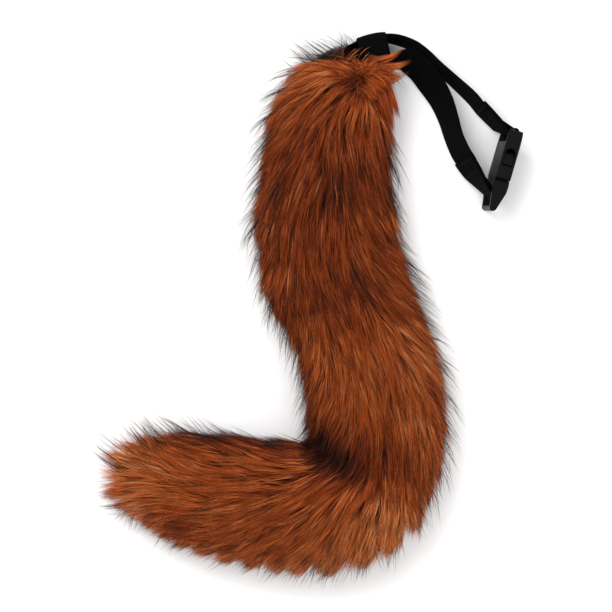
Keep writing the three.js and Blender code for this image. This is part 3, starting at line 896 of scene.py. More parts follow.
@dataclass
class StrandMesh:
    """Turns strands into one mesh of closed hairs that taper to a point.

    Attributes:
        sides: How many sides a hair has.
        shade_round: How much its shade changes round it.
        taper: How much thinner it gets before its point, as a share.
        taper_curve: How late on its way it does so.
    """

    sides: int = 3
    shade_round: float = 0.006
    taper: float = 0.55
    taper_curve: float = 1.5

    def build(self, name: str, strands: Strands, finish: bpy.types.Material) -> bpy.types.Object:
        """Makes the mesh object.

        Args:
            name: The piece's name.
            strands: What it holds.
            finish: Its material.

        Returns:
            The object.
        """
        count, rings = len(strands.points), strands.points.shape[1] - 1
        sides = self.sides
        ahead = unit(np.gradient(strands.points, axis=1))
        across = unit(np.cross(ahead, strands.outer[:, None, :]))
        outward = np.cross(across, ahead)
        angles = math.pi / 2 + 2 * math.pi * np.arange(sides) / sides
        ring = (
            np.cos(angles)[:, None] * across[:, :rings, None, :]
            + np.sin(angles)[:, None] * outward[:, :rings, None, :]
        )
        narrowing = 1 - self.taper * (np.arange(rings) / rings) ** self.taper_curve
        size = strands.widths[:, None, None, None] * narrowing[None, :, None, None] / 2
        ring = strands.points[:, :rings, None, :] + ring * size
        vertices = np.concatenate([ring.reshape(count, rings * sides, 3), strands.points[:, -1:, :]], axis=1)
        per = rings * sides + 1

        walls, wall_ways, wall_sides = [], [], []
        for k in range(rings - 1):
            for j in range(sides):
                n = (j + 1) % sides
                walls.append((k * sides + j, k * sides + n, (k + 1) * sides + n, (k + 1) * sides + j))
                wall_ways.append((k, k, k + 1, k + 1))
                wall_sides.append((j, j + 1, j + 1, j))
        ends, end_ways, end_sides = [], [], []
        last = (rings - 1) * sides
        for j in range(sides):
            ends.append((last + j, last + (j + 1) % sides, rings * sides))
            end_ways.append((rings - 1, rings - 1, rings))
            end_sides.append((j, j + 1, j + 0.5))
        ends.append(tuple(reversed(range(sides))))
        end_ways.append((0, 0, 0.5))
        end_sides.append((0, 1, 0.5))

        corner = np.array(sum(walls, ()) + sum(ends, ()))
        way = np.array(sum(wall_ways, ()) + sum(end_ways, ()), float) / rings
        side = np.array(sum(wall_sides, ()) + sum(end_sides, ()), float) / sides - 0.5
        sizes = np.array([4] * len(walls) + [3] * len(ends))
        loops = (corner[None, :] + per * np.arange(count)[:, None]).ravel()
        starts = np.concatenate([[0], np.cumsum(np.tile(sizes, count))[:-1]])

        mesh = bpy.data.meshes.new(name)
        mesh.vertices.add(count * per)
        mesh.vertices.foreach_set("co", vertices.astype(np.float32).ravel())
        mesh.loops.add(len(loops))
        mesh.loops.foreach_set("vertex_index", loops.astype(np.int32))
        mesh.polygons.add(len(starts))
        mesh.polygons.foreach_set("loop_start", starts.astype(np.int32))
        mesh.polygons.foreach_set("use_smooth", np.ones(len(starts), bool))
        mesh.update(calc_edges=True)
        middle = np.clip(strands.shades, 0.02, 0.98)
        u = (middle[:, None] + side[None, :] * self.shade_round).ravel()
        v = np.tile(way, count) * 0.96 + 0.02
        for layer in (STRAND_MAP, BAKE_MAP):
            places = mesh.uv_layers.new(name=layer)
            places.data.foreach_set("uv", np.stack([u, v], axis=1).astype(np.float32).ravel())
        return show(mesh, finish)


@dataclass
class FurTail:
    """The fur tail: its stuffed backing and its pile.

    Attributes:
        form: The stuffed tube that it grows on.
        seed: The seed of all its chance.
        tries: How many places are tried for each clump.
        grown: The first share along the spine where hair is rooted, and how far from there to the last.
        rooted: The shares that no hair's root goes past.
        underside: How much of the pile grows underneath.
        under_edge: The heights on the section, from -1 to 1, between which the underside begins.
        root_extra: How much more grows at the root, and the share along the spine that it fades over.
        steps: How many steps a hair is laid in.
        inertia: How much of its heading a hair keeps at each step.
        floor_gap: How far every hair stays off the floor.
        sink: How deep under the backing the hairs are rooted.
        rise: How steeply a hair leaves the backing.
        clump_uneven: How much of its coat's unevenness in length a whole clump shares.
        length_limits: The shortest and longest clumps, as shares of their coat's length.
        lift_uneven: How much the clumps' lifts differ.
        lift_limits: The lowest and highest clumps, as shares of their coat's lift.
        lift_curve: How early on its way a hair gains its lift.
        hold_zone: The shares along the spine between which the hair begins to keep to the backing.
        spot_at: Where along a coat's length the spots press and raise it.
        spot_limits: How much they press and raise it at most.
        swirls: Waves in the pile's heading: each one's size, its rates along x and y, and its shift.
        tip_zone: The shares along the spine between which the tip's short, spread hair begins.
        tip_fan: How much farther the hair fans out there.
        tip_short: How much shorter it is there.
        tip_free: How much less it keeps to the backing at the tip, and the share where that begins.
        back_short: How much shorter the hairs that lie backwards are.
        most_trim: The most that the trims take off a hair.
        least_radius: The least radius round the backing that a clump's spread is read on.
        shortest: The shortest hair of a clump, as a share of the clump's length.
        gather_curve: How late on their way the hairs of a clump draw together.
        fray: How far a hair's tip strays by chance.
        fray_curve: How late on its way it does so.
        width_uneven: How much the hairs' widths differ.
        width_limits: The thinnest and thickest hairs, as shares of the coat's width.
        whorl: The point that the hair on the root spreads from, from the root seam.
        whorl_reach: How far from there it does so.
        coats: The kinds of hair.
        tints_and_painted_shade: Patches that are darker or paler, one of them painted shade in the fold's
            crease.
        combs: Patches that are combed another way.
        spots: Round spots that are darker or paler; the first four are painted shade in the fold's crease.
        spot_lift: How much a spot presses the pile in or raises it for each unit of its shade.
        trims: Patches where the hair is shorter.
        bend_fan: Where the hair on the bend spreads from, from the root seam.
        bend_share: How fully it does so.
        bend_zone: The shares along the spine over which that sets in, and over which it ends.
        bend_edge: Across the tail, from -1 on the right of the way to the tip, where it begins.
        root_end: The share along the spine up to which the hair that points up behind the root is dark.
        root_heights: How far up from the root seam such hair reaches: where the dark begins and is full.
        root_shade: That hair's shade.
        rosette: The locks that cover the whorl.
        lock_points: How many points a hair of a loose lock has.
        lock_width: How thick it is at its root.
        lock_uneven: How much such hairs differ in length.
        lock_shortest: The shortest of them, as a share of the lock's length.
        lock_shade: How much they differ in shade.
        lock_place: The share along the spine that they are counted to.
        locks: The loose locks at the root.
        wisps: The loose locks at the tip.
        names: The pieces that the pile is split into, from root to tip.
    """

    form: TailForm
    seed: int = 7
    tries: int = 6
    grown: tuple[float, float] = (0.002, 0.9974)
    rooted: tuple[float, float] = (0.0015, 0.9994)
    underside: float = 0.25
    under_edge: tuple[float, float] = (-0.9, -0.3)
    root_extra: tuple[float, float] = (0.5, 0.07)
    steps: int = 8
    inertia: float = 0.5
    floor_gap: float = 0.6 * MM
    sink: float = 2.5 * MM
    rise: float = 0.6
    clump_uneven: float = 0.6
    length_limits: tuple[float, float] = (0.6, 1.3)
    lift_uneven: float = 0.22
    lift_limits: tuple[float, float] = (0.4, 1.5)
    lift_curve: float = 1.6
    hold_zone: tuple[float, float] = (-0.01, 0.05)
    spot_at: float = 0.6
    spot_limits: tuple[float, float] = (-0.6, 0.3)
    swirls: tuple[tuple[float, float, float, float], ...] = ((0.16, 90, 40, 1.3), (0.1, -130, 210, 0.0))
    tip_zone: tuple[float, float] = (0.86, 1.0)
    tip_fan: float = 0.9
    tip_short: float = 0.35
    tip_free: tuple[float, float] = (0.85, 0.93)
    back_short: float = 0.68
    most_trim: float = 0.58
    least_radius: float = 12 * MM
    shortest: float = 0.4
    gather_curve: float = 1.2
    fray: float = 0.9 * MM
    fray_curve: float = 1.5
    width_uneven: float = 0.2
    width_limits: tuple[float, float] = (0.5, 1.5)
    whorl: tuple[float, float, float] = (-4.8 * MM, -4.0 * MM, 40 * MM)
    whorl_reach: float = 60 * MM
    coats: tuple[Coat, ...] = (
        Coat(
            name="underfur", clumps=1600, strands=8, points=3, spread=6 * MM, gather=0.2, length=32 * MM,
            uneven=0.15, lift=6 * MM, hold=0.6, width=0.8 * MM, fan=0.25, stray=0.2, shade=0.33,
            clump_shade=0.06, strand_shade=0.06, flanks=0.0, phase=2.96, tinted=True,
        ),
        Coat(
            name="pile", clumps=7600, strands=9, points=3, spread=3.2 * MM, gather=0.5, length=48 * MM,
            uneven=0.22, lift=12 * MM, hold=0.5, width=0.4 * MM, fan=0.46, stray=0.11, shade=0.55,
            clump_shade=0.065, strand_shade=0.16, flanks=0.1, phase=1.48, tinted=True,
        ),
        Coat(
            name="guard", clumps=1200, strands=4, points=4, spread=8 * MM, gather=0.4, length=54 * MM,
            uneven=0.3, lift=18 * MM, hold=0.14, width=0.42 * MM, fan=0.85, stray=0.34, shade=0.04,
            clump_shade=0.03, strand_shade=0.03, flanks=1.4, phase=1.85, tinted=False,
        ),
    )
    tints_and_painted_shade: tuple[Patch, ...] = (
        Patch(0.27, 90, 0.16, 120, -0.12),
        Patch(0.23, 80, 0.018, 60, -0.06),
        Patch(0.365, 80, 0.025, 70, -0.06),
        # Painted shade in the fold's crease, by the bend's inner corner.
        Patch(0.62, 165, 0.05, 30, -0.12),
        Patch(0.85, 176, 0.1, 22, -0.4),
        Patch(0.94, 4, 0.015, 14, -0.3),
        Patch(0.74, 25, 0.06, 38, 0.16),
        Patch(0.84, 12, 0.06, 25, 0.06),
        Patch(0.49, 80, 0.06, 80, 0.07),
        Patch(0.06, 140, 0.05, 60, 0.17),
        Patch(1.02, 90, 0.07, 200, 0.22),
    )
    combs: tuple[Patch, ...] = (Patch(0.6, 150, 0.05, 50, -94), Patch(0.79, 172, 0.1, 34, 177))
    spots: tuple[Spot, ...] = (
        # The first four paint shade into the fold's crease, where the upper arm laps over the lower one.
        Spot(-49, -304, 13, -0.4),
        Spot(-37, -312, 15, -0.45),
        Spot(-22, -322, 13, -0.38),
        Spot(-11, -331, 10, -0.2),
        Spot(-9.6, 1.6, 4, -0.25),
        Spot(-12, -113, 7, -0.3),
        Spot(-14, -91, 9, -0.14),
        Spot(-32, -94, 10, -0.14),
        Spot(12, -75, 10, -0.14),
        Spot(14, -96, 9, -0.12),
        Spot(-52, -74, 9, -0.08),
        Spot(-6, -99, 5, 0.12),
        Spot(-10, -122, 6, 0.14),
        Spot(-53, -183, 8, -0.12),
        Spot(-34, -187, 9, -0.13),
        Spot(-3, -181, 10, -0.15),
        Spot(13, -197, 10, -0.13),
        Spot(-13, -204, 9, -0.11),
        Spot(-66, -178, 9, 0.1),
        Spot(-48, -223, 10, 0.13),
        Spot(-31, -241, 11, 0.11),
        Spot(45, -250, 13, 0.11),
        Spot(38, -225, 11, 0.08),
        Spot(6, -315, 20, -0.17),
        Spot(24, -326, 14, -0.13),
        Spot(43, -295, 20, 0.08),
        Spot(20, -361, 16, 0.24),
        Spot(2, -379, 16, 0.22),
        Spot(-26, -359, 16, 0.06),
        Spot(-150, -300, 9, -0.12),
        Spot(-126, -298, 9, -0.13),
        Spot(-102, -298, 9, -0.15),
        Spot(-80, -299, 9, -0.3),
        Spot(-158, -362, 8, -0.3),
    )
    spot_lift: float = 2.0
    trims: tuple[Patch, ...] = (
        Patch(0.72, 5, 0.12, 50, 0.44),
        Patch(0.86, 5, 0.1, 45, 0.44),
        Patch(0.33, 180, 0.08, 40, 0.2),
        Patch(0.95, 0, 0.05, 50, 0.4),
        Patch(1.0, 90, 0.012, 400, 0.14),
    )
    bend_fan: tuple[float, float, float] = (13.6 * MM, -295 * MM, 0.0)
    bend_share: float = 0.85
    bend_zone: tuple[float, float, float, float] = (0.6, 0.68, 0.78, 0.93)
    bend_edge: tuple[float, float] = (-0.95, -0.4)
    root_end: float = 0.035
    root_heights: tuple[float, float] = (-2 * MM, 6 * MM)
    root_shade: float = 0.1
    rosette: Rosette = Rosette()
    lock_points: int = 4
    lock_width: float = 0.45 * MM
    lock_uneven: float = 0.2
    lock_shortest: float = 0.5
    lock_shade: float = 0.09
    lock_place: float = 0.02
    locks: tuple[LooseLock, ...] = (
        LooseLock(((-18, -8, 40), (-40, 0, 38), (-61, 2, 32)), 170, 4.0, 2.6, 0.64),
        LooseLock(((-10, -6, 42), (-28, 2, 40), (-48, 6, 33)), 150, 3.2, 2.2, 0.62),
        LooseLock(((-6, -4, 43), (-18, 2, 40), (-33, 6.5, 34)), 110, 2.6, 1.8, 0.6),
        LooseLock(((-16, -12, 43), (-42, -7, 42), (-66, -8, 34)), 150, 4.0, 3.0, 0.6),
        LooseLock(((-34, -2, 36), (-50, 12, 34), (-64, 22, 28)), 34, 6.0, 5.0, 0.05),
        LooseLock(((-20, 2, 36), (-38, 16, 34), (-54, 26, 28)), 28, 6.0, 5.0, 0.05),
        LooseLock(((-14, 5, 40), (-9, 12, 40), (-2, 16, 37)), 18, 4.0, 4.0, 0.7),
        LooseLock(((-22, 4, 40), (-22, 12, 38), (-17, 18, 34)), 16, 4.0, 4.0, 0.5),
        LooseLock(((0, 8, 38), (15, 9, 41), (30, 18, 37)), 40, 2.2, 0.6, 0.68),
        LooseLock(((4, 3, 40), (20, 3, 42), (36, 9, 36)), 50, 2.6, 0.8, 0.66),
        LooseLock(((7, -8, 38), (19, -6, 39), (34, 0, 34)), 46, 2.8, 0.9, 0.6),
        LooseLock(((4, -1, 41), (15, -3, 42), (21, -12, 38)), 130, 3.4, 2.6, 0.6),
        LooseLock(((11, -5, 36), (19, -21, 36), (25.6, -42, 30)), 100, 2.4, 0.8, 0.56),
        LooseLock(((9, -9, 36), (16, -29, 38), (21, -49, 34)), 100, 2.4, 0.8, 0.52),
        LooseLock(((7, -6, 38), (12, -24, 41), (15.5, -42, 39)), 110, 3.0, 1.6, 0.5),
        LooseLock(((9, -14, 34), (15, -34, 36), (19.5, -56, 34)), 90, 3.0, 1.4, 0.48),
        LooseLock(((-39, 7, 30), (-29, 14, 28), (-18, 20, 24)), 100, 2.2, 1.6, 0.02),
        LooseLock(((-31, 6, 31), (-22, 14, 29), (-12, 21, 25)), 100, 2.6, 1.8, 0.02),
        LooseLock(((-30, 6, 34), (-24, 13, 33), (-17, 21, 30)), 12, 4.0, 4.0, 0.42),
    )
    wisps: tuple[LooseLock, ...] = (
        LooseLock(((-184, -313, 27), (-204, -298, 30), (-216, -288, 28)), 8, 2.6, 3.0, 0.05),
        LooseLock(((-192, -320, 26), (-212, -305, 28), (-220.5, -298, 25)), 9, 2.4, 2.4, 0.05),
        LooseLock(((-196, -322, 25), (-212, -311, 27), (-220, -305, 25)), 7, 2.4, 2.6, 0.06),
        LooseLock(((-170, -306, 28), (-184, -292, 31), (-192, -281, 29)), 8, 2.2, 2.6, 0.05),
        LooseLock(((-168, -303, 28), (-178, -290, 31), (-182, -279, 30)), 7, 2.0, 2.4, 0.05),
        LooseLock(((-178, -338, 22), (-204, -340, 22), (-222, -342, 19)), 13, 2.4, 1.6, 0.12),
        LooseLock(((-172, -346, 20), (-202, -350, 20), (-223, -351, 17)), 14, 2.6, 1.2, 0.14),
        LooseLock(((-186, -348, 15), (-190, -361, 14), (-193, -372, 9)), 7, 1.8, 2.2, 0.06),
        LooseLock(((-166, -310, 29), (-174, -300, 32), (-180, -289, 29)), 34, 3.2, 1.0, 0.58),
        LooseLock(((-174, -337, 25), (-198, -337, 25), (-218, -338, 20)), 40, 2.8, 0.8, 0.66),
        LooseLock(((-170, -343, 22), (-190, -348, 21), (-212, -350, 16)), 40, 3.0, 0.8, 0.56),
        LooseLock(((-180, -325, 27), (-202, -324, 26), (-218, -324, 21)), 44, 4.0, 2.4, 0.78),
        LooseLock(((-180, -313, 28), (-196, -308, 29), (-206, -302, 25)), 44, 4.0, 3.4, 0.82),
        LooseLock(((-184, -318, 27), (-202, -314, 27), (-213, -311, 22)), 44, 4.0, 3.4, 0.84),
        LooseLock(((-180, -330, 26), (-200, -331, 26), (-214, -332, 21)), 40, 3.6, 2.6, 0.74),
    )
    names: tuple[str, ...] = ("fur_root", "fur_upper", "fur_middle", "fur_bend", "fur_lower", "fur_tip")

    def backing(self) -> bpy.types.Object:
        """The stuffed backing.

        Returns:
            The padded piece that stands for the solid tail.
        """
        shell = bmesh.new()
        bmesh.ops.create_uvsphere(shell, u_segments=48, v_segments=120, radius=1.0)
        places = np.array([v.co for v in shell.verts])
        along = (1 - places[:, 2]) / 2
        turn = np.arctan2(places[:, 1], places[:, 0])
        moved = self.form.point(along, turn, 0.0)
        moved[:, 2] = np.maximum(moved[:, 2], self.floor_gap)
        for vertex, place in zip(shell.verts, moved):
            vertex.co = place
        bmesh.ops.recalc_face_normals(shell, faces=shell.faces)
        return smooth_piece("tail_backing", shell, BackingFinish().build())

    def scatter(self, coat: Coat) -> tuple[np.ndarray, np.ndarray]:
        """Even places over the backing, fewer underneath.

        Args:
            coat: What grows there.

        Returns:
            Their shares along the spine and their turns.
        """
        tries = self.tries * coat.clumps
        steps = np.arange(1, tries + 1)
        first, span = self.grown
        along = first + span * ((0.5 + coat.phase + steps * EVEN_STEPS[0]) % 1)
        turn = 2 * math.pi * ((0.5 + steps * EVEN_STEPS[1]) % 1) - math.pi / 2
        chance = (0.5 + coat.phase + steps * EVEN_STEPS[2]) % 1
        weight = np.linalg.norm(self.form.facing(along, turn), axis=-1)
        on_top = smoothstep(np.sin(turn), *self.under_edge)
        weight = weight * (self.underside + (1 - self.underside) * on_top)
        extra, fade = self.root_extra
        near_root = np.exp(-((along / fade) ** 2))
        weight = weight * (1 + coat.flanks * np.cos(turn) ** 4) * (1 + extra * near_root)
        keep = chance < weight / weight.mean() * coat.clumps / tries
        return along[keep], turn[keep]

    def flow(self, along: np.ndarray, turn: np.ndarray, places: np.ndarray, coat: Coat) -> np.ndarray:
        """The way that the pile lies.

        Args:
            along: Shares along the spine.
            turn: Turns round the section.
            places: Where the hairs are.
            coat: Which hairs.

        Returns:
            Directions of length one.
        """
        _, ahead, left, _, _ = self.form.section(along)
        spread = coat.fan * (1 + self.tip_fan * smoothstep(along, *self.tip_zone))
        way = unit(ahead + left * (np.cos(turn) * spread)[:, None])
        for comb in self.combs:
            weight = comb.weight(along, turn)[:, None]
            heading = math.radians(comb.value)
            way = unit(way * (1 - weight) + np.array([math.cos(heading), math.sin(heading), 0]) * weight)
        fanned = unit((places - self.form.seam - np.array(self.bend_fan)) * np.array([1, 1, 0]))
        bend = self.bend_share * smoothstep(along, *self.bend_zone[:2])
        bend = bend * (1 - smoothstep(along, *self.bend_zone[2:]))
        bend = (bend * smoothstep(np.cos(turn), *self.bend_edge))[:, None]
        way = unit(way * (1 - bend) + fanned * bend)
        away = places - self.form.seam - np.array(self.whorl)
        distance = np.linalg.norm(away, axis=-1, keepdims=True)
        near = np.exp(-((distance / self.whorl_reach) ** 2))
        return unit(unit(away) * near + way * (1 - near))

    def comb(self, coat: Coat, along: np.ndarray, turn: np.ndarray, drift: np.ndarray) -> np.ndarray:
        """Lays one guide hair for each clump, step by step along the flow.

        Args:
            coat: The kind of hair.
            along: The clumps' shares along the spine.
            turn: Their turns.
            drift: Four numbers of chance for each clump.

        Returns:
            The guides' points, from the root on.
        """
        form = self.form
        place = form.point(along, turn, -self.sink)
        outward = unit(form.facing(along, turn))
        way = self.flow(along, turn, place, coat)
        back = np.clip(-(way * form.section(along)[1]).sum(1), 0, 1)
        longer = coat.uneven * self.clump_uneven * drift[:, 1]
        reach = coat.length * np.clip(1 + longer, *self.length_limits)
        near_tip = smoothstep(along, *self.tip_zone)
        reach = reach * (1 - self.back_short * back) * (1 - self.tip_short * near_tip)
        trimmed = sum(trim.value * trim.weight(along, turn) for trim in self.trims)
        reach = reach * (1 - np.clip(trimmed, 0, self.most_trim))
        lift = coat.lift * np.clip(1 + self.lift_uneven * drift[:, 2], *self.lift_limits)
        over = place + way * self.spot_at * coat.length - form.seam
        raised = sum(self.spot_lift * spot.shade * spot.weight(over) for spot in self.spots)
        lift = lift * (1 + np.clip(raised, *self.spot_limits))
        heading = unit(unit(way - outward * (way * outward).sum(1, keepdims=True)) + outward * self.rise)
        free, free_from = self.tip_free
        guide = [place]
        for step in range(1, self.steps + 1):
            share = step / self.steps
            where, turned, _, outward = form.locate(place, along)
            way = self.flow(where, turned, place, coat)
            x, y = place[:, 0], place[:, 1]
            swirl = sum(size * np.sin(a * x + b * y + shift) for size, a, b, shift in self.swirls)
            angle = (swirl + coat.stray * drift[:, 0])[:, None]
            way = way * np.cos(angle) + np.cross(outward, way) * np.sin(angle)
            heading = unit(heading * self.inertia + way * (1 - self.inertia))
            moved = place + heading * (reach / self.steps)[:, None]
            where, _, out, outward = form.locate(moved, along)
            target = lift * (1 - (1 - share) ** self.lift_curve)
            loosening = free * smoothstep(where, free_from, 1.0)
            hold = coat.hold * smoothstep(where, *self.hold_zone) * (1 - loosening)
            moved = moved + outward * ((target - out) * hold)[:, None]
            moved[:, 2] = np.maximum(moved[:, 2], self.floor_gap)
            heading = unit(moved - place)
            place = moved
            guide.append(place)
        return np.stack(guide, axis=1)

    def grow(self, coat: Coat, rng: np.random.Generator) -> Strands:
        """Grows one coat over the whole tail.

        Args:
            coat: The kind of hair.
            rng: The seeded source of chance.

        Returns:
            Its strands.
        """
        clump_along, clump_turn = self.scatter(coat)
        clumps, per = len(clump_along), coat.strands
        count = clumps * per
        drift = rng.normal(0, 1, (clumps, 4))
        guides = self.comb(coat, clump_along, clump_turn, drift)
        clump = np.repeat(np.arange(clumps), per)
        _, _, _, half_width, half_height = self.form.section(clump_along)
        radius = np.maximum((half_width + half_height) / 2, self.least_radius)
        offset = rng.normal(0, 0.5, (count, 2)) * coat.spread
        along = np.clip(clump_along[clump] + offset[:, 0] / self.form.spine_length, *self.rooted)
        turn = clump_turn[clump] + offset[:, 1] / radius[clump]
        apart = self.form.point(along, turn, -self.sink) - guides[clump, 0]

        size = np.clip(1 - coat.uneven * np.abs(rng.normal(0, 1, count)), self.shortest, 1.0)
        share = np.linspace(0, 1, coat.points)[None, :] * size[:, None]
        place = share * self.steps
        row = np.minimum(place.astype(int), self.steps - 1)
        w = (place - row)[..., None]
        points = guides[clump[:, None], row] * (1 - w) + guides[clump[:, None], row + 1] * w
        points = points + apart[:, None, :] * (1 - coat.gather * share**self.gather_curve)[..., None]
        points = points + rng.normal(0, self.fray, (count, 1, 3)) * (share**self.fray_curve)[..., None]
        points[..., 2] = np.maximum(points[..., 2], self.floor_gap)

        shade = coat.shade + coat.clump_shade * drift[clump, 3]
        shade = shade + coat.strand_shade * rng.normal(0, 1, count)
        if coat.tinted:
            shown = guides[:, 3 * self.steps // 4]
            seen, round_it, _, _ = self.form.locate(shown, clump_along)
            # The patches and spots shift the shade, some of them as painted shade in the fold's crease.
            tint_and_painted_shade = sum(tint_and_painted_shade.value * tint_and_painted_shade.weight(seen, round_it) for tint_and_painted_shade in self.tints_and_painted_shade)
            tint_and_painted_shade = tint_and_painted_shade + sum(spot.shade * spot.weight(shown - self.form.seam) for spot in self.spots)
            shade = shade + tint_and_painted_shade[clump]
            end = smoothstep(guides[clump, -1, 1] - self.form.seam[1], *self.root_heights)
            end = end * smoothstep(along, self.root_end, 0.3 * self.root_end)
            shade = shade * (1 - end) + self.root_shade * end
        thicker = self.width_uneven * rng.normal(0, 1, count)
        widths = coat.width * np.clip(1 + thicker, *self.width_limits)
        return Strands(points, unit(self.form.facing(along, turn)), widths, shade, along)

    def loose(self, lock: LooseLock, rng: np.random.Generator) -> Strands:
        """One loose lock.

        Args:
            lock: The lock.
            rng: The seeded source of chance.

        Returns:
            Its strands.
        """
        count = lock.strands
        size = np.clip(1 - self.lock_uneven * np.abs(rng.normal(0, 1, count)), self.lock_shortest, 1.0)
        t = np.linspace(0, 1, self.lock_points)[None, :, None] * size[:, None, None]
        root, middle, tip = (np.array(place) * MM + self.form.seam for place in lock.way)
        points = root * (1 - t) * (1 - 2 * t) + middle * 4 * t * (1 - t) + tip * t * (2 * t - 1)
        apart = rng.normal(0, 1, (count, 1, 3)) * (lock.root * MM * (1 - t) + lock.tip * MM * t)
        shades = lock.shade + self.lock_shade * rng.normal(0, 1, count)
        thicker = self.width_uneven * rng.normal(0, 1, count)
        widths = self.lock_width * np.clip(1 + thicker, *self.width_limits)
        outer, places = np.tile(UP, (count, 1)), np.full(count, self.lock_place)
        return Strands(points + apart, outer, widths, shades, places)

    def build(self) -> list[bpy.types.Object]:
        """Builds the tail.

        Returns:
            Its pieces.
        """
        backing = self.backing()
        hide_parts("fur_tail")
        rng = np.random.default_rng(self.seed)
        underfur, pile, guard = (self.grow(coat, rng) for coat in self.coats)
        crown = (*self.locks, *self.rosette.locks(self.whorl, rng))
        locks = Strands.together([self.loose(lock, rng) for lock in crown])
        wisps = Strands.together([self.loose(lock, rng) for lock in self.wisps])
        pile = Strands.together([underfur, pile])
        finish = FurFinish().build()
        maker = StrandMesh()
        order = np.array_split(np.argsort(pile.along, kind="stable"), len(self.names))
        pieces = [backing]
        pieces += [maker.build(name, pile.select(rows), finish) for name, rows in zip(self.names, order)]
        apart = {"guard_hairs": guard, "root_locks": locks, "tip_wisps": wisps}
        pieces += [maker.build(name, strands, finish) for name, strands in apart.items()]
        for piece in pieces:
            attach(piece, BODY)
        return pieces


@dataclass(frozen=True)
class BeltRow:
    """A row of the belt's table.

    Attributes:
        x: A share of the belt's reach from the root seam, to the right.
        y: And up the view.
        lean: How far the band leans to the right of its way, in degrees.
        rise: Its height, from 0 on the floor to 1 at the buckle's middle.
    """

    x: float
    y: float
    lean: float
    rise: float = 0.0


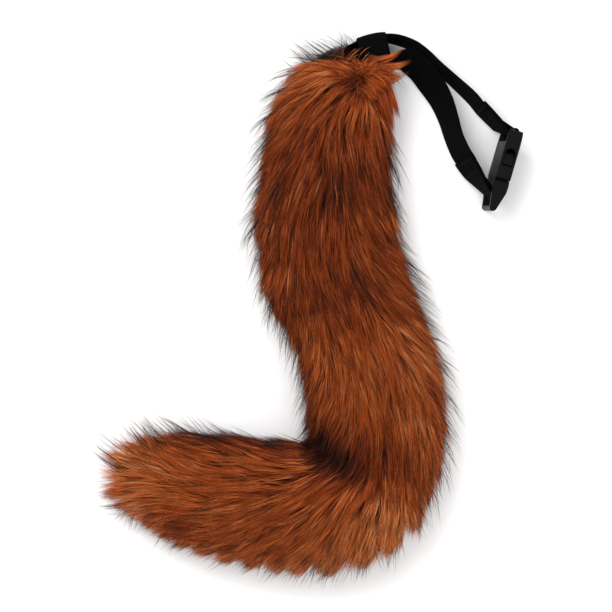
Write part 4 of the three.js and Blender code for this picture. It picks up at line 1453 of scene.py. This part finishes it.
@dataclass
class WaistBelt:
    """The waist strap: one length of webbing, turned round both buckle bars, and the loop that holds it.

    Attributes:
        form: The tail, whose root seam the belt's places are measured from.
        reach: What the belt's table is a share of.
        width: The webbing's width.
        thickness: And its thickness.
        hem: How long each sewn hem is.
        hem_fade: How far past and before the hem's end the strap settles onto it.
        ply: How far each ply of a hem lies from its middle, as a share of the thickness.
        bar_clear: How far the straight strap stays off a bar.
        floor_gap: How far it stays off the floor.
        steps: How many places its path has.
        buckle_middle: The buckle's middle from the root seam, as shares of the reach.
        buckle_size: Its width and thickness.
        buckle_lean: How far it leans over.
        buckle_heading: Its heading from plug to socket.
        socket_bar: The socket's bar along the buckle from its middle.
        plug_bar: And the plug's.
        eye: The radii of the strap's turn round a bar.
        eye_arc: Where that turn starts and ends, in half turns.
        eye_points: How many points it has.
        edge_points: How many points round off an edge of a band.
        face_points: How many lie across its face.
        loop_width: The belt loop's width.
        loop_wall: Its thickness.
        loop_round: The radius of its corners.
        loop_room: The room between the strands and its ends.
        loop_lift: The room above and below them.
        loop_ease: How far its outer end stands in from the strand's curve.
        hug_reach: How far each way along the belt that curve is read, as a share of the belt.
        hug_zone: How far from the outer strand the loop begins to follow it, as a share of the loop,
            and how far past the strand it follows it fully.
        stitch_rows: The rows of stitches from a hem's fold.
        stitch_count: How many stitches a row has.
        stitch_pitch: How far apart they are.
        stitch_length: How long one is.
        stitch_off: How far it lies from the hem's middle, as a share of the webbing's thickness.
        thread: The thread's thickness.
        loop_rows: The rows of the belt's table that the loop holds.
        rows: The belt's table.
    """

    form: TailForm
    reach: float = 150 * MM
    width: float = 30 * MM
    thickness: float = 1.6 * MM
    hem: float = 26 * MM
    hem_fade: tuple[float, float] = (8 * MM, 4 * MM)
    ply: float = 0.52
    bar_clear: float = 2.5 * MM
    floor_gap: float = 1.6 * MM
    steps: int = 300
    buckle_middle: tuple[float, float] = (0.716, -0.531)
    buckle_size: tuple[float, float] = (40 * MM, 12 * MM)
    buckle_lean: float = math.radians(7)
    buckle_heading: float = math.radians(73.8)
    socket_bar: float = 31.75 * MM
    plug_bar: float = -21.75 * MM
    eye: tuple[float, float] = (3.45 * MM, 2.9 * MM)
    eye_arc: tuple[float, float] = (0.22, 1.78)
    eye_points: int = 15
    edge_points: int = 5
    face_points: int = 7
    loop_width: float = 24 * MM
    loop_wall: float = 1.3 * MM
    loop_round: float = 4 * MM
    loop_room: float = 2.6 * MM
    loop_lift: float = 0.9 * MM
    loop_ease: float = 2.0 * MM
    hug_reach: float = 0.06
    hug_zone: tuple[float, float] = (0.7, 0.5 * MM)
    stitch_rows: tuple[float, ...] = (12 * MM, 22.5 * MM)
    stitch_count: int = 9
    stitch_pitch: float = 3.0 * MM
    stitch_length: float = 2.3 * MM
    stitch_off: float = 1.02
    thread: float = 0.55 * MM
    loop_rows: tuple[int, int] = (9, 17)
    rows: tuple[BeltRow, ...] = (
        BeltRow(0.717, -0.303, 12, 0.93),
        BeltRow(0.63, -0.211, 15, 0.5),
        BeltRow(0.548, -0.123, 15, 0.18),
        BeltRow(0.463, -0.044, 13, 0.04),
        BeltRow(0.373, 0.037, 12),
        BeltRow(0.315, 0.093, 12),
        BeltRow(0.251, 0.141, 12),
        BeltRow(0.165, 0.175, 11),
        BeltRow(0.091, 0.184, 8),
        BeltRow(0.021, 0.174, 6),
        BeltRow(-0.078, 0.14, 4),
        BeltRow(-0.165, 0.096, 1),
        BeltRow(-0.211, 0.07, 0),
        BeltRow(-0.225, 0.05, 0),
        BeltRow(-0.205, 0.032, 0),
        BeltRow(-0.15, 0.026, 0),
        BeltRow(-0.07, 0.026, -2),
        BeltRow(0.053, 0.032, -5),
        BeltRow(0.128, 0.049, -11),
        BeltRow(0.192, 0.066, -32),
        BeltRow(0.264, 0.037, -41),
        BeltRow(0.338, -0.053, -41),
        BeltRow(0.397, -0.149, -35),
        BeltRow(0.438, -0.256, -29),
        BeltRow(0.463, -0.341, -27, 0.03),
        BeltRow(0.51, -0.448, -28, 0.15),
        BeltRow(0.562, -0.533, -24, 0.5),
        BeltRow(0.617, -0.605, -12, 0.93),
    )

    def __post_init__(self) -> None:
        """Works out the belt's curves and the buckle's place."""
        self.way = TableCurve(np.array([[row.x, row.y, 0.0] for row in self.rows]) * self.reach)
        self.turns = TableCurve(np.array([[row.lean, row.rise, 0.0] for row in self.rows]))
        wide, thick = self.buckle_size
        self.buckle_level = (math.cos(self.buckle_lean) * wide + math.sin(self.buckle_lean) * thick) / 2
        x, y = self.buckle_middle
        place = Vector(self.form.seam) + Vector((x * self.reach, y * self.reach, self.buckle_level))
        turned = Matrix.Rotation(self.buckle_heading, 4, "Z") @ Matrix.Rotation(self.buckle_lean, 4, "X")
        self.buckle = Matrix.Translation(place) @ turned

    def frames(self, share: np.ndarray) -> tuple[np.ndarray, np.ndarray, np.ndarray]:
        """The band's middle line.

        Args:
            share: Places from the socket's end, at 0, to the plug's.

        Returns:
            The middles, the ways ahead and the ways across the band's width.
        """
        ahead = self.way.ahead(share)
        turn = self.turns.at(share)
        lean = np.radians(turn[:, 0])[:, None]
        across = UP * np.cos(lean) + np.cross(ahead, UP) * np.sin(lean)
        standing = (np.cos(lean) * self.width + np.abs(np.sin(lean)) * self.thickness)[:, 0] / 2
        middle = self.way.at(share) + self.form.seam
        level = self.floor_gap + standing
        middle[:, 2] = level + (self.buckle_level - level) * turn[:, 1]
        return middle, ahead, across

    def round_bar(self, bar: float, toward: np.ndarray, side: np.ndarray) -> np.ndarray:
        """The webbing's way round a buckle bar.

        Args:
            bar: The bar's place along the buckle.
            toward: The strap's first point away from the bar.
            side: The side of the strap that the turn starts on.

        Returns:
            The points of the turn.
        """
        centre = np.array(self.buckle @ Vector((bar, 0, 0)))
        along, through = (np.array(self.buckle.to_3x3() @ Vector(axis)) for axis in ((1, 0, 0), (0, 1, 0)))
        away = toward - centre
        start = math.atan2(away @ through, away @ along)
        turning = 1 if np.cross([away @ along, away @ through], [side @ along, side @ through]) > 0 else -1
        angles = start + turning * np.linspace(*self.eye_arc, self.eye_points) * math.pi
        a, b = self.eye
        return centre + a * np.cos(angles)[:, None] * along + b * np.sin(angles)[:, None] * through

    def strap_path(self) -> tuple[np.ndarray, np.ndarray]:
        """The whole strap from one sewn end, round both bars, to the other.

        Returns:
            Its middle line and the ways across its width.
        """
        middle, ahead, across = self.frames(np.linspace(0, 1, self.steps))
        left = np.cross(across, ahead)
        way = np.concatenate([[0], np.cumsum(np.linalg.norm(np.diff(middle, axis=0), axis=1))])
        off = self.ply * self.thickness
        ends = [way, way[-1] - way]
        past, before = self.hem_fade
        doubled = [smoothstep(end, self.hem + past, self.hem - before) for end in ends]
        main = middle + left * (off * (doubled[0] + doubled[1]))[:, None]
        body = (way > self.bar_clear) & (way[-1] - way > self.bar_clear)
        hems = [(end > self.bar_clear) & (end < self.hem) for end in ends]
        upright = np.array(self.buckle.to_3x3() @ Vector((0, 0, 1)))
        first = self.round_bar(self.socket_bar, middle[hems[0]][0], -left[0])
        last = self.round_bar(self.plug_bar, middle[hems[1]][-1], left[-1])
        plies = [(middle - left * off)[hem] for hem in hems]
        path = np.concatenate([plies[0][::-1], first, main[body], last, plies[1][::-1]])
        ways = [across[hems[0]][::-1], np.tile(upright, (len(first), 1)), across[body]]
        ways += [np.tile(upright, (len(last), 1)), across[hems[1]][::-1]]
        return path, unit(np.concatenate(ways))

    def band(
        self, name: str, path: np.ndarray, across: np.ndarray, size: tuple[float, float], closed: bool
    ) -> bpy.types.Object:
        """A band of webbing with rounded edges along a path.

        Args:
            name: The piece's name.
            path: Its middle line.
            across: The ways across its width.
            size: Its width and thickness.
            closed: Whether its end joins its start.

        Returns:
            The object.
        """
        if closed:
            path, across = (np.vstack([rows, rows[:1]]) for rows in (path, across))
            ahead = np.vstack([path[1:2] - path[-2:-1], path[2:] - path[:-2], path[1:2] - path[-2:-1]])
        else:
            ahead = np.gradient(path, axis=0)
        outward = unit(np.cross(across, unit(ahead)))
        width, thickness = size
        flat, half = width / 2 - thickness / 2, thickness / 2
        arc = np.linspace(-math.pi / 2, math.pi / 2, self.edge_points)[1:-1]
        bulge, edge = half * np.cos(arc), half * np.sin(arc)
        span, level = np.linspace(-flat, flat, self.face_points), np.full(self.face_points, half)
        wide = np.concatenate([span, flat + bulge, span[::-1], -flat - bulge, span[:1]])
        thick = np.concatenate([-level, edge, level, -edge, -level[:1]])
        length = np.concatenate([[0], np.cumsum(np.linalg.norm(np.diff(path, axis=0), axis=1))])

        shell = bmesh.new()
        rows, columns = len(path), len(wide)
        bmesh.ops.create_grid(shell, x_segments=rows - 1, y_segments=columns - 1, size=0.5)
        weave = shell.loops.layers.uv.new(WEAVE_MAP)
        for face in shell.faces:
            for loop in face.loops:
                row = round((loop.vert.co.x + 0.5) * (rows - 1))
                column = round((loop.vert.co.y + 0.5) * (columns - 1))
                loop[weave].uv = (wide[column], length[row])
        for vertex in shell.verts:
            row = round((vertex.co.x + 0.5) * (rows - 1))
            column = round((vertex.co.y + 0.5) * (columns - 1))
            vertex.co = path[row] + across[row] * wide[column] + outward[row] * thick[column]
        bmesh.ops.remove_doubles(shell, verts=shell.verts, dist=1e-6)
        if not closed:
            bmesh.ops.holes_fill(shell, edges=shell.edges, sides=0)
        bmesh.ops.recalc_face_normals(shell, faces=shell.faces)
        return smooth_piece(name, shell, self.finish)

    def loop_path(self) -> tuple[np.ndarray, np.ndarray]:
        """The belt loop's way round the two strands that it holds.

        Returns:
            Its middle line and the ways across its width.
        """
        shares = np.array(self.loop_rows) / (len(self.rows) - 1)
        (outer, inner), _, _ = self.frames(shares)
        outward = (outer - inner) * np.array([1, 1, 0])
        lean = math.radians(max(abs(self.rows[row].lean) for row in self.loop_rows))
        room = (self.thickness + self.width * math.sin(lean)) / 2 + self.loop_room
        half = np.linalg.norm(outward) / 2 + room + self.loop_wall / 2
        height = self.width + self.loop_lift + self.loop_wall
        outward = unit(outward)
        middle = (outer + inner) / 2
        middle[2] = self.loop_wall / 2 + height / 2
        corner = self.loop_round - self.loop_wall / 2
        path = []
        for quarter in range(4):
            turn = quarter * math.pi / 2
            sx = 1 if quarter in (0, 3) else -1
            sz = 1 if quarter in (0, 1) else -1
            for angle in turn + np.linspace(0, math.pi / 2, 6):
                side = sx * (half - corner) + corner * math.cos(angle)
                rise = sz * (height / 2 - corner) + corner * math.sin(angle)
                path.append(middle + outward * side + UP * rise)
        path = np.array(path)
        return path, np.tile(np.cross(outward, UP), (len(path), 1))

    def hug(self, loop: bpy.types.Object) -> None:
        """Draws the loop's outer end in over the curved strand that it holds.

        Args:
            loop: The belt loop.
        """
        shares = np.array(self.loop_rows) / (len(self.rows) - 1)
        (outer, inner), _, _ = self.frames(shares)
        outward = unit((outer - inner) * np.array([1, 1, 0]))
        nearby = np.linspace(shares[0] - self.hug_reach, shares[0] + self.hug_reach, 60)
        strand, _, _ = self.frames(nearby)
        strand_q = (strand - outer) @ np.cross(outward, UP)
        strand_p = (strand - outer) @ outward
        order = np.argsort(strand_q)
        start, full = -self.hug_zone[0] * np.linalg.norm((outer - inner)[:2]), self.hug_zone[1]
        for vertex in loop.data.vertices:
            place = np.array(vertex.co) - outer
            pull = float(smoothstep(place @ outward, start, full))
            bow = np.interp(place @ np.cross(outward, UP), strand_q[order], strand_p[order])
            vertex.co = np.array(vertex.co) + outward * pull * (bow - self.loop_ease)

    def stitches(self) -> bpy.types.Object:
        """The sewing that closes both hems: rows of stitches across the strap, on both faces.

        Returns:
            The object.
        """
        middle, ahead, across = self.frames(np.linspace(0, 1, self.steps))
        left = np.cross(across, ahead)
        way = np.concatenate([[0], np.cumsum(np.linalg.norm(np.diff(middle, axis=0), axis=1))])
        size = Matrix.Diagonal((self.stitch_length / 2, self.thread / 2, self.thread / 2, 1.0))
        across_places = (np.arange(self.stitch_count) - (self.stitch_count - 1) / 2) * self.stitch_pitch
        shell = bmesh.new()
        for from_end in (way, way[-1] - way):
            for row in self.stitch_rows:
                at = int(np.abs(from_end - row).argmin())
                turned = Matrix([across[at], ahead[at], left[at]]).transposed().to_4x4()
                for side in (-1, 1):
                    for place in across_places:
                        off = left[at] * side * self.stitch_off * self.thickness
                        centre = middle[at] + across[at] * place + off
                        put = Matrix.Translation(centre) @ turned @ size
                        bmesh.ops.create_uvsphere(shell, u_segments=8, v_segments=5, radius=1.0, matrix=put)
        return smooth_piece("hem_stitches", shell, ThreadFinish().build())

    def build(self) -> list[bpy.types.Object]:
        """Builds the strap and its loop.

        Returns:
            The pieces.
        """
        self.finish = WebbingFinish().build()
        path, across = self.strap_path()
        strap = self.band("waist_webbing", path, across, (self.width, self.thickness), False)
        path, across = self.loop_path()
        loop = self.band("loop_webbing", path, across, (self.loop_width, self.loop_wall), True)
        self.hug(loop)
        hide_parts("waist_strap")
        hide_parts("belt_loop")
        sewing = self.stitches()
        for piece in (strap, loop, sewing):
            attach(piece, BODY)
        return [strap, loop, sewing]


@dataclass
class Studio:
    """The pale floor, the soft light and the camera straight above.

    Attributes:
        picture_width: What the picture shows from side to side, at the object's level.
        picture_middle: The middle of the picture.
        object_level: The height at which the picture's width holds.
        lens: The camera's focal length, in millimetres.
        sensor: Its sensor's width, in millimetres.
        paper: Half the floor's side.
        air: How bright the white surroundings are.
        lamps: The soft boxes: name, place, side in metres and power in watts.
    """

    picture_width: float = 489.6 * MM
    picture_middle: tuple[float, float] = (-6.5 * MM, -4.3 * MM)
    object_level: float = 36 * MM
    lens: float = 200.0
    sensor: float = 36.0
    paper: float = 6.0
    air: float = 0.9
    lamps: tuple[tuple[str, tuple[float, float, float], float, float], ...] = (
        ("key_light", (-0.5, 0.7, 1.5), 1.0, 20.0),
        ("fill_light", (0.8, -0.6, 1.3), 1.2, 6.0),
    )

    def floor(self) -> None:
        """A wide sheet of paper at z = 0."""
        sheet = bmesh.new()
        bmesh.ops.create_grid(sheet, x_segments=1, y_segments=1, size=self.paper)
        floor = smooth_piece("studio_floor", sheet, FloorFinish().build())

    def lamp(self, name: str, place: tuple, size: float, power: float) -> None:
        """A square soft box that faces the middle of the picture.

        Args:
            name: Its name.
            place: Where it hangs.
            size: Its side, in metres.
            power: Its power, in watts.
        """
        light = bpy.data.lights.new(name, "AREA")
        light.shape = "SQUARE"
        light.size = size
        light.energy = power
        lamp = bpy.data.objects.new(name, light)
        lamp.location = place
        aim = Vector(place) - Vector((*self.picture_middle, 0))
        lamp.rotation_euler = aim.to_track_quat("Z", "Y").to_euler()
        bpy.context.scene.collection.objects.link(lamp)

    def camera(self) -> None:
        """The camera straight above the tail, with +Y up the picture."""
        data = bpy.data.cameras.new("camera")
        data.lens = self.lens
        data.sensor_width = self.sensor
        data.clip_end = 50.0
        camera = bpy.data.objects.new("camera", data)
        distance = self.picture_width * self.lens / self.sensor
        camera.location = (*self.picture_middle, distance + self.object_level)
        bpy.context.scene.collection.objects.link(camera)
        bpy.context.scene.camera = camera

    def build(self) -> None:
        """Sets the scene up."""
        scene = bpy.context.scene
        scene.view_settings.view_transform = "Standard"
        world = bpy.data.worlds.new("studio_air")
        world.use_nodes = True
        background = world.node_tree.nodes["Background"]
        background.inputs["Color"].default_value = colour("ffffff")
        background.inputs["Strength"].default_value = self.air
        scene.world = world
        self.floor()
        for lamp in self.lamps:
            self.lamp(*lamp)
        self.camera()


def main() -> None:
    """Loads the part, builds its looks around it and reports each piece."""
    logging.basicConfig(level=logging.INFO, format="%(message)s")
    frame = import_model()
    Studio().build()
    form = TailForm()
    pieces = FurTail(form).build() + WaistBelt(form).build()
    plastic = PlasticFinish().build()
    for node in ("buckle_socket", "buckle_plug"):
        for place in frame["nodes"][node].material_slots:
            place.material = plastic
    for piece in pieces:
        LOG.info("%s: %d faces", piece.name, len(piece.data.polygons))
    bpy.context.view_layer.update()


if __name__ == "__main__":
    main()
